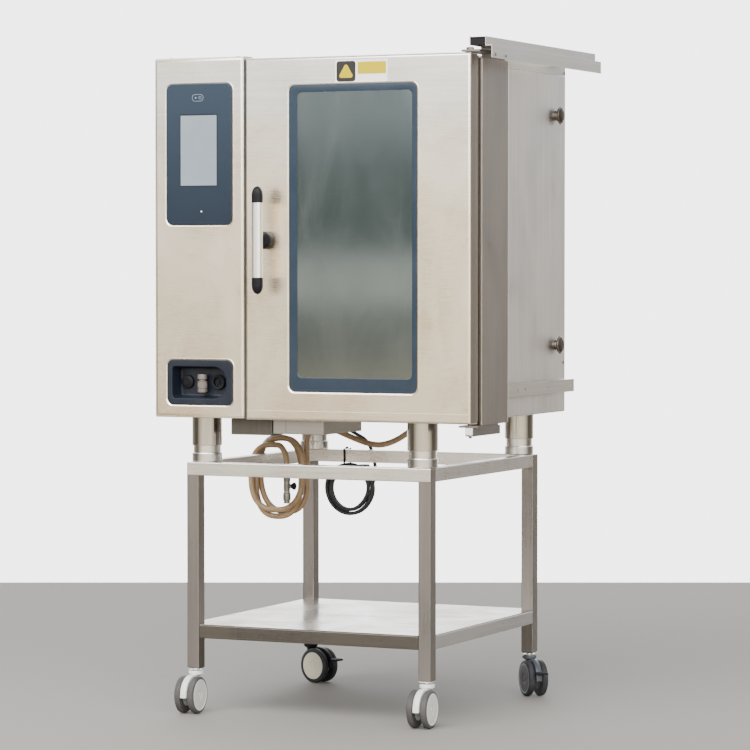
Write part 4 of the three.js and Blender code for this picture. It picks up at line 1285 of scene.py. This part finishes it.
def add_base():
    tray_low, tray_high = local_box("base_frame")
    tray = block("base_tray", (tray_low.x, tray_low.y, 784), (tray_high.x, tray_high.y, 786), 0.6, 2)
    dress(tray, "cabinet", "liner", ("base_frame",))

    sleeves = []
    for corner in CORNERS:
        foot_low, foot_high = local_box("foot_" + corner)
        centre = ((foot_low.x + foot_high.x) / 2, (foot_low.y + foot_high.y) / 2, 0)
        bottom = 709
        sleeves.append(lathe("leg_sleeve", "z", centre, [
            (bottom + 0.8, 37.3), (bottom, 38), (bottom, 39.2), (bottom + 1, 40), (782.5, 40), (783.9, 41.2),
            (783.9, 37.3), (bottom + 0.8, 37.3)], 72))
        foot = lathe(
            "foot_" + corner + "_turned", "z", centre,
            [
                (foot_low.z + 0.1, 0), (foot_low.z + 0.1, 37), (foot_low.z + 1.2, 39),
                (foot_low.z + 2.6, 40), (687, 40), (688.6, 39.4), (689.2, 38), (689.4, 36.4),
                (foot_high.z - 1, 36.4), (foot_high.z, 35.6), (foot_high.z, 33.5), (674, 33.5), (674, 0)
            ],
            72
        )
        dress(smooth(foot, 30), "foot_" + corner, "bright", ("foot_" + corner,))
    legs = join("leg_sleeves", sleeves)
    merge_close(legs)
    dress(smooth(legs, 30), "cabinet", "sleeve")

    elbow = wire(
        "hose_elbow", [(570, 505, UNDERSIDE), (570, 505, 778), (566, 505, 773.5), HOSE_EXIT], 8.8, 24
    )
    nut = lathe(
        "hose_elbow_nut", "z", (570, 505, 0),
        [(776, 0), (776, 11.5), (777, 12.6), (782.5, 12.6), (UNDERSIDE, 11.6), (UNDERSIDE, 0)], 6
    )
    gland_x, gland_y = CABLE_ROUTE[0][:2]
    gland = lathe(
        "gland_nut", "z", (gland_x, gland_y, 0),
        [
            (763, 0), (763, 8), (765, 9), (775, 9), (775.5, 12.4), (783, 12.8), (UNDERSIDE, 12),
            (UNDERSIDE, 0)
        ],
        6
    )
    assemble("base_fittings", [elbow, nut, gland], 30, "cabinet", "brass")

    hook_x, hook_y, hook_z = HOOK
    band = lathe(
        "hook_band", "x", (hook_x, hook_y, hook_z), [(-6, 9.2), (-6, 11), (6, 11), (6, 9.2), (-6, 9.2)], 40
    )
    strip = block(
        "hook_strip", (hook_x - 6, hook_y - 1.2, hook_z + 10), (hook_x + 6, hook_y + 1.2, UNDERSIDE), 0.6
    )
    hook = join("hose_hook", [band, strip])
    merge_close(hook)
    dress(smooth(hook, 35), "cabinet", "dark_metal")

    low, high = local_box("service_box")
    step = 316.2
    # Painted shade: the cover and the tray take darker steel for the shade under the oven.
    cover = block("service_box_cover", (low.x, low.y, low.z), (step, high.y, high.z), 1.4)
    dress(cover, "cabinet", "box", ("service_box",))
    tray = block("service_tray", (step + 0.2, low.y + 6, low.z + 4), (high.x, high.y, high.z), 1.4)
    dress(tray, "cabinet", "tray")
    seam = block("service_box_seam", (353.6, low.y + 5.7, 745), (354.4, low.y + 6.6, 782), 0.15, 1)
    dress(seam, "cabinet", "tub")


def add_stand():
    """Square tubes: the front and rear rails lie over the legs and the side rails butt against them."""
    low, high = local_box("stand_frame")
    tube = 35
    lower_top = local_box("stand_shelf")[0].z - 0.3
    legs = []
    fronts = []
    lower = []
    sides = []
    for x in (low.x, high.x - tube):
        for y in (low.y, high.y - tube):
            legs.append(block("leg", (x, y, low.z), (x + tube, y + tube, high.z), 2.2))
        for top in (high.z, lower_top):
            sides.append(
                block("side_rail", (x, low.y + tube, top - tube), (x + tube, high.y - tube, top), 2.2)
            )
    for y, proud in ((low.y, -0.15), (high.y - tube, 0.15)):
        fronts.append(block("top_rail_tube", (low.x + 0.3, y + proud, high.z - tube),
                            (high.x - 0.3, y + tube + proud, high.z + 0.1), 2.2))
        lower.append(
            block(
                "shelf_rail_tube", (low.x + tube, y, lower_top - tube),
                (high.x - tube, y + tube, lower_top), 2.2
            )
        )
    for name, parts, look, nodes in (("stand_legs", legs, "leg", ("stand_frame",)),
                                     ("stand_cross_rails", fronts, "lit_cross_tube", ()),
                                     ("stand_shelf_rails", lower, "shaded_low_tube", ()),
                                     ("stand_side_rails", sides, "side_tube", ())):
        assemble(name, parts, 30, "cabinet", look, nodes)
    dress(refined("stand_shelf", "shelf_sheet", 0.5), "cabinet", "shelf", ("stand_shelf",))
    welds = []
    for x in (low.x, high.x):
        for y in (low.y, high.y):
            sx = 1 if x == low.x else -1
            sy = 1 if y == low.y else -1
            for z in (629.6, 198.0):
                welds.append(
                    weld((x + sx * (tube + 0.2), y + sy * 2, z), (x + sx * (tube + 0.2), y + sy * 33, z))
                )
                welds.append(
                    weld((x + sx * 2, y + sy * (tube + 0.2), z), (x + sx * 33, y + sy * (tube + 0.2), z))
                )
    seams = join("stand_welds", welds)
    seams.data.shade_smooth()
    dress(seams, "cabinet", "dark_metal")
    plates = []
    for corner in CORNERS:
        x, y = caster_stem(corner)
        half = tube / 2
        plates.append(block("leg_plate", (x - half + 0.3, y - half + 0.3, low.z - 2.2),
                            (x + half - 0.3, y + half - 0.3, low.z - 0.2), 0.8))
    assemble("leg_end_plates", plates, 30, "cabinet", "bright")


def weld(start, end, radius=1.5):
    """A short rippled weld bead."""
    start, end = Vector(start), Vector(end)
    turn = (end - start).to_track_quat("Z", "Y")
    rings = []
    ripples = 18
    for step in range(ripples + 1):
        point = start.lerp(end, step / ripples)
        size = radius * (0.55 if step in (0, ripples) else 1.0 + 0.18 * (step % 2))
        rings.append([tuple(point + turn @ Vector((size * math.cos(a), size * math.sin(a), 0)))
                      for a in (2 * math.pi * side / 8 for side in range(8))])
    return loft("weld", rings)


# ---- casters ---------------------------------------------------------------------------

def joint(name):
    return next(j for j in frame["joints"] if j["name"] == name)


def caster_stem(corner):
    place = joint("caster_swivel_" + corner)["pos_m"]
    return (place[0] - ORIGIN.x) / MM, (place[1] - ORIGIN.y) / MM


def into_place(piece, corner):
    """Moves a piece made about the stem's axis to its caster, turned to its heading."""
    x, y = caster_stem(corner)
    axle = joint("wheel_roll_" + corner)["axis"]
    heading = math.atan2(axle[1], axle[0])
    piece.data.transform(Matrix.Translation(-ORIGIN))
    piece.data.transform(Matrix.Translation(at(x, y, 0)) @ Matrix.Rotation(heading, 4, "Z"))
    return piece


CASTER_COLOURS = {
    "front_left": ("white", "tyre", "pale_grey", "white"),
    "front_right": ("white", "tyre", "pale_grey", "white"),
    "rear_left": ("black", "black_tyre", "cream", "black_tyre"),
    "rear_right": ("hood_grey", "black_tyre", "dark_disc", "grey"),
}


def add_casters():
    trail = 33
    radius = 49
    for corner in CORNERS:
        hood_look, tyre_look, disc_look, rim_look = CASTER_COLOURS[corner]
        hood = join("hood_" + corner, [hood_shell(trail, radius), hood_neck()])
        smooth(into_place(hood, corner), 40)
        dress(hood, "caster_" + corner, hood_look, ("caster_" + corner,))
        stem = lathe(
            "stem_" + corner, "z", (0, 0, 0),
            [
                (108, 0), (108, 15), (109, 16.5), (111.5, 16.5), (112.5, 15), (112.5, 8), (117, 8),
                (117, 7.8), (134, 7.8), (134, 0)
            ],
            40
        )
        smooth(into_place(stem, corner), 30)
        dress(stem, "caster_" + corner, "bright")

        tyres = []
        discs = []
        rims = []
        for side in (-1, 1):
            tyres.append(
                lathe(
                    "tyre", "x", (0, -trail, radius),
                    [
                        (side * a, r)
                        for a, r in (
                            (10.3, 30), (10.3, 44), (11.3, 47), (13.5, 48.6), (16, radius), (22, radius),
                            (25, 48.4), (26.8, 46.6), (27.6, 44), (27.6, 41), (26, 40), (26, 30), (10.3, 30)
                        )
                    ],
                    72
                )
            )
            discs.append(
                lathe(
                    "disc", "x", (0, -trail, radius),
                    [
                        (side * a, r)
                        for a, r in (
                            (10.6, 0), (10.6, 38), (24, 38.5), (26.6, 38.2), (27.4, 36), (27.7, 30),
                            (28, 18), (27.4, 13), (26.2, 11.5), (26.2, 8), (27.4, 7), (27.4, 0)
                        )
                    ],
                    64
                )
            )
            rims.append(lathe("rim", "x", (0, -trail, radius), [(side * a, r) for a, r in (
                (25.6, 38.2), (27.6, 38.4), (28.1, 39.6), (27.6, 41), (25.6, 41), (25.6, 38.2))], 72))
        for name, parts, look in (
            ("tyres_", tyres, tyre_look), ("discs_", discs, disc_look), ("rims_", rims, rim_look)
        ):
            whole = join(name + corner, parts)
            merge_close(whole)
            smooth(into_place(whole, corner), 30)
            nodes = ("wheels_" + corner,) if name == "tyres_" else ()
            dress(whole, "wheels_" + corner, look, nodes)
        axle = lathe(
            "axle_" + corner, "x", (0, -trail, radius), [(-11, 0), (-11, 4.8), (11, 4.8), (11, 0)], 24
        )
        smooth(into_place(axle, corner), 30)
        dress(axle, "wheels_" + corner, "bright")
        if corner.startswith("rear"):
            add_brake(corner, trail)


def hood_shell(trail, radius):
    """The mudguard: a crowned strip over the wheels that comes down to the axle on both sides."""
    rings = []
    steps = 30
    for step in range(steps + 1):
        angle = math.radians(-4 + 188 * step / steps)
        direction = Vector((0, -math.cos(angle), math.sin(angle)))
        axle = Vector((0, -trail, radius))
        ring = []
        for x, reach in (
            (-8.6, 14), (-9, 44), (-8.2, 49.6), (-5.5, 51.4), (0, 52), (5.5, 51.4), (8.2, 49.6), (9, 44),
            (8.6, 14)
        ):
            ring.append(tuple(axle + direction * reach + Vector((x, 0, 0))))
        rings.append(ring)
    return loft("hood_shell", rings)


def hood_neck():
    """The round tower that holds the stem."""
    rings = []
    for z, radius, squeeze in (
        (84, 12, 0.7), (94, 13, 0.72), (98.6, 17, 0.9), (100.5, 19.4, 1.0), (106, 20, 1.0),
        (108.4, 19.4, 1.0), (110, 17, 1.0)
    ):
        ring = []
        for side in range(40):
            angle = 2 * math.pi * side / 40
            ring.append((radius * squeeze * math.cos(angle), radius * math.sin(angle), z))
        rings.append(ring)
    return loft("hood_neck", rings)


def add_brake(corner, trail):
    """The brake pedal: a pivot, an arm and a wide toe plate with grip ribs."""
    pivot = -trail - 38
    parts = [
        lathe(
            "brake_pivot", "x", (0, pivot, 69),
            [(-6.5, 0), (-6.5, 5.4), (-6, 6), (6, 6), (6.5, 5.4), (6.5, 0)], 24
        )
    ]
    parts.append(block("brake_arm", (-6.4, pivot - 22, 66.2), (6.4, pivot, 71.8), 1.6))
    parts.append(block("brake_toe", (-15.8, pivot - 42, 66), (15.8, pivot - 18, 71.6), 2.4, 4))
    for rib in range(4):
        y = pivot - 38 + rib * 5
        parts.append(block("brake_rib", (-12, y - 1, 71), (12, y + 1, 72.6), 0.7, 2))
    pedal = join("pedal_" + corner, parts)
    smooth(into_place(pedal, corner), 35)
    dress(pedal, "brake_" + corner, "black", ("brake_" + corner,))


# ---- inside ----------------------------------------------------------------------------

def add_inside():
    for node, look, slot, body in (
        ("cooking_cavity", "liner", "liner_steel", "cabinet"),
        ("suction_panel", "liner", "liner_steel", "cabinet"), ("fan_wheel", "liner", "liner_steel", "fan"),
        ("fan_motor", "charcoal", "dark_plastic", "cabinet")
    ):
        dress(refined(node, node + "_piece", 0.5), body, look, (node,))

    low, high = local_box("cavity_gasket")
    width = 14
    profile = ((0, 0), (0.12, -0.75), (0.4, -1), (0.6, -1), (0.88, -0.75), (1, 0))
    rings = []
    for across, rise in profile:
        inset = width * across
        shape = outline(low.x + inset, high.x - inset, low.z + inset, high.z - inset, 12 - 6 * across, 8)
        rings.append(ring_at(shape, high.y + (high.y - low.y) * rise))
    gasket = loft("door_gasket", rings + [rings[0]], closed_ends=False)
    merge_close(gasket)
    dress(smooth(gasket, 50), "cabinet", "gasket", ("cavity_gasket",))

    low, high = local_box("heating_element")
    centre = Vector((0, (low.y + high.y) / 2, (low.z + high.z) / 2))
    loops = []
    for x, reach in ((343, 178), (357, 178)):
        loop = [(x, centre.y + reach * math.cos(a), centre.z + reach * math.sin(a))
                for a in (2 * math.pi * step / 64 for step in range(64))]
        loops.append(wire("element_loop", loop, 5.4, 12, closed=True))
    for rise in (-20, 20):
        loops.append(wire("element_end", [(low.x + 0.5, centre.y + 178, centre.z + rise),
                                          (350, centre.y + 178, centre.z + rise)], 5, 12))
    element = join("ring_element", loops)
    element.data.shade_smooth()
    dress(element, "cabinet", "element", ("heating_element",))

    for node in ("rack_left", "rack_right"):
        add_rack(node)

    low, high = local_box("drain_outlet")
    x = (low.x + high.x) / 2
    pipe = wire(
        "drain_pipe",
        smooth_route(
            [
                (x, low.y + 0.5, 872), (x, 716, 872), (x, 730, 866), (x, 735, 850), (x, 738, 832),
                (x, 748, 820), (x, 764, 817), (x, high.y, 817)
            ],
            5
        ),
        18, 32
    )
    collar = lathe(
        "drain_collar", "y", (x, 0, 817),
        [
            (790, 18), (790, 22), (793.4, 22), (793.4, 27), (795.4, 27), (796.4, 20), (high.y, 20),
            (high.y, 16), (800, 16), (790, 18)
        ],
        48
    )
    assemble("drain_fitting", [pipe, collar], 35, "cabinet", "grey", ("drain_outlet",))


def add_rack(node):
    """A hanging frame of round wire: two posts and eleven U-shaped rails."""
    low, high = local_box(node)
    left = node == "rack_left"
    post_x = 418 if left else 766
    rail_x = post_x + (14 if left else -14)
    wall_x = low.x + 0.5 if left else high.x - 0.5
    parts = []
    for y in (130, 640):
        parts.append(wire("rack_post", [(post_x, y, 880), (post_x, y, 1636)], 4, 12))
        for z in (890, 1620):
            parts.append(wire("rack_peg", [(post_x, y, z), (wall_x, y, z)], 3, 8))
    for level in range(11):
        z = 900 + 68 * level
        rail = smooth_route(
            [
                (post_x, 102, z), (rail_x - (3 if left else -3), 103, z), (rail_x, 112, z),
                (rail_x, 380, z), (rail_x, 658, z), (rail_x - (3 if left else -3), 667, z), (post_x, 668, z)
            ],
            4
        )
        parts.append(wire("rack_rail", rail, 3.4, 8))
        for y in (130, 640):
            parts.append(wire("rack_link", [(post_x, y, z), (rail_x, y, z)], 3, 8))
    rack = join(node + "_wires", parts)
    rack.data.shade_smooth()
    dress(rack, "cabinet", "wire", (node,))


# ---- room -------------------------------------------------------------------------------

def plain(name, color, rough=0.8):
    shader = Shader(name)
    cloud = shader.noise(1.2, detail=4.0)
    return shader.set(color=shader.mix(shader.spread(cloud, 0.3, 0.7), tuple(c * 0.96 for c in color), color),
                      rough=rough, specular=0.2)


def add_floor():
    """A pale floor that ends behind the oven, where the white backdrop begins."""
    width, front, back = 9.0, 4.23, 3.4
    bpy.ops.mesh.primitive_plane_add(size=1, location=(0, 0, 0))
    floor = bpy.context.object
    floor.name = "floor"
    floor.scale = (width, front + back, 1)
    floor.location = Matrix.Rotation(CAMERA_YAW, 4, "Z") @ Vector((-0.1, (back - front) / 2, -0.0005))
    floor.rotation_euler = (0, 0, CAMERA_YAW)
    floor.data.materials.append(plain("floor_paint", (0.25, 0.235, 0.215)))


def add_world():
    """Soft studio light: bright above, a dim band at eye level, a warm ground, a white backdrop behind."""
    world = bpy.data.worlds.new("studio")
    bpy.context.scene.world = world
    world.use_nodes = True
    tree = world.node_tree
    coordinates = tree.nodes.new("ShaderNodeTexCoord")
    split = tree.nodes.new("ShaderNodeSeparateXYZ")
    tree.links.new(coordinates.outputs["Generated"], split.inputs[0])
    height = world_ramp(
        tree, split.outputs["Z"],
        [
            (-1.0, (0.7, 0.58, 0.44)), (-0.3, (2.3, 1.86, 1.3)), (-0.16, (2.65, 2.12, 1.46)),
            (-0.06, (1.22, 1.04, 0.78)), (-0.026, (0.40, 0.41, 0.36)), (-0.016, (0.44, 0.46, 0.41)),
            (-0.008, (0.92, 0.96, 0.86)), (0.003, (0.80, 0.85, 0.78)), (0.0085, (0.24, 0.28, 0.27)),
            (0.03, (0.30, 0.345, 0.33)), (0.046, (0.62, 0.70, 0.70)), (0.06, (0.66, 0.74, 0.74)),
            (0.10, (3.9, 3.9, 3.9)), (0.6, (4.6, 4.65, 4.7)), (1.0, (2.4, 2.45, 2.5))
        ]
    )
    facing = tree.nodes.new("ShaderNodeVectorMath")
    facing.operation = "DOT_PRODUCT"
    facing.inputs[1].default_value = (math.sin(CAMERA_YAW), -math.cos(CAMERA_YAW), 0)
    tree.links.new(coordinates.outputs["Generated"], facing.inputs[0])
    around = world_ramp(
        tree, facing.outputs["Value"],
        [
            (-1.0, (0, 0, 0)), (-0.86, (0, 0, 0)), (-0.78, (0.43, 0.43, 0.43)), (-0.55, (0.42, 0.42, 0.42)),
            (-0.2, (0.16, 0.16, 0.16)), (0.25, (0.14, 0.14, 0.14)), (0.62, (0.9, 0.9, 0.9)),
            (0.8, (1.35, 1.35, 1.35)), (1.0, (1.4, 1.4, 1.4))
        ]
    )
    both = tree.nodes.new("ShaderNodeVectorMath")
    both.operation = "MULTIPLY"
    tree.links.new(height, both.inputs[0])
    tree.links.new(around, both.inputs[1])
    backdrop = world_ramp(tree, facing.outputs["Value"], [
        (-1.0, (4.3, 4.3, 4.35)), (-0.86, (4.0, 4.0, 4.05)), (-0.78, (0, 0, 0)), (1.0, (0, 0, 0)),
    ])
    total = tree.nodes.new("ShaderNodeVectorMath")
    tree.links.new(both.outputs[0], total.inputs[0])
    tree.links.new(backdrop, total.inputs[1])
    tree.links.new(total.outputs[0], tree.nodes["Background"].inputs["Color"])


def world_ramp(tree, value, stops):
    """Colours laid along a value that runs from -1 to 1."""
    shift = tree.nodes.new("ShaderNodeMapRange")
    shift.inputs["From Min"].default_value = -1
    tree.links.new(value, shift.inputs["Value"])
    ramp = tree.nodes.new("ShaderNodeValToRGB")
    tree.links.new(shift.outputs["Result"], ramp.inputs[0])
    steps = ramp.color_ramp.elements
    steps[0].color = (*stops[0][1], 1)
    steps[-1].color = (*stops[-1][1], 1)
    for place, color in stops[1:-1]:
        steps.new((place + 1) / 2).color = (*color, 1)
    return ramp.outputs["Color"]


def add_light(name, place, target, size, power, color=(1, 1, 1)):
    data = bpy.data.lights.new(name, "AREA")
    data.shape = "RECTANGLE"
    data.size, data.size_y = size
    data.energy = power
    data.color = color
    light = bpy.data.objects.new(name, data)
    bpy.context.collection.objects.link(light)
    light.location = place
    light.rotation_mode = "QUATERNION"
    light.rotation_quaternion = (Vector(target) - Vector(place)).to_track_quat("-Z", "Y")


def add_lights():
    add_light("sky_light", (-0.8, -3.4, 4.2), (0, 0, 0.9), (4.5, 2.4), 260)


looks = make_materials()

add_camera()
add_hose()
add_cable()
add_casing()
add_column()
add_hose_recess()
add_door()
add_handle()
add_carriage()
add_base()
add_stand()
add_casters()
add_inside()
add_floor()
add_world()
add_lights()
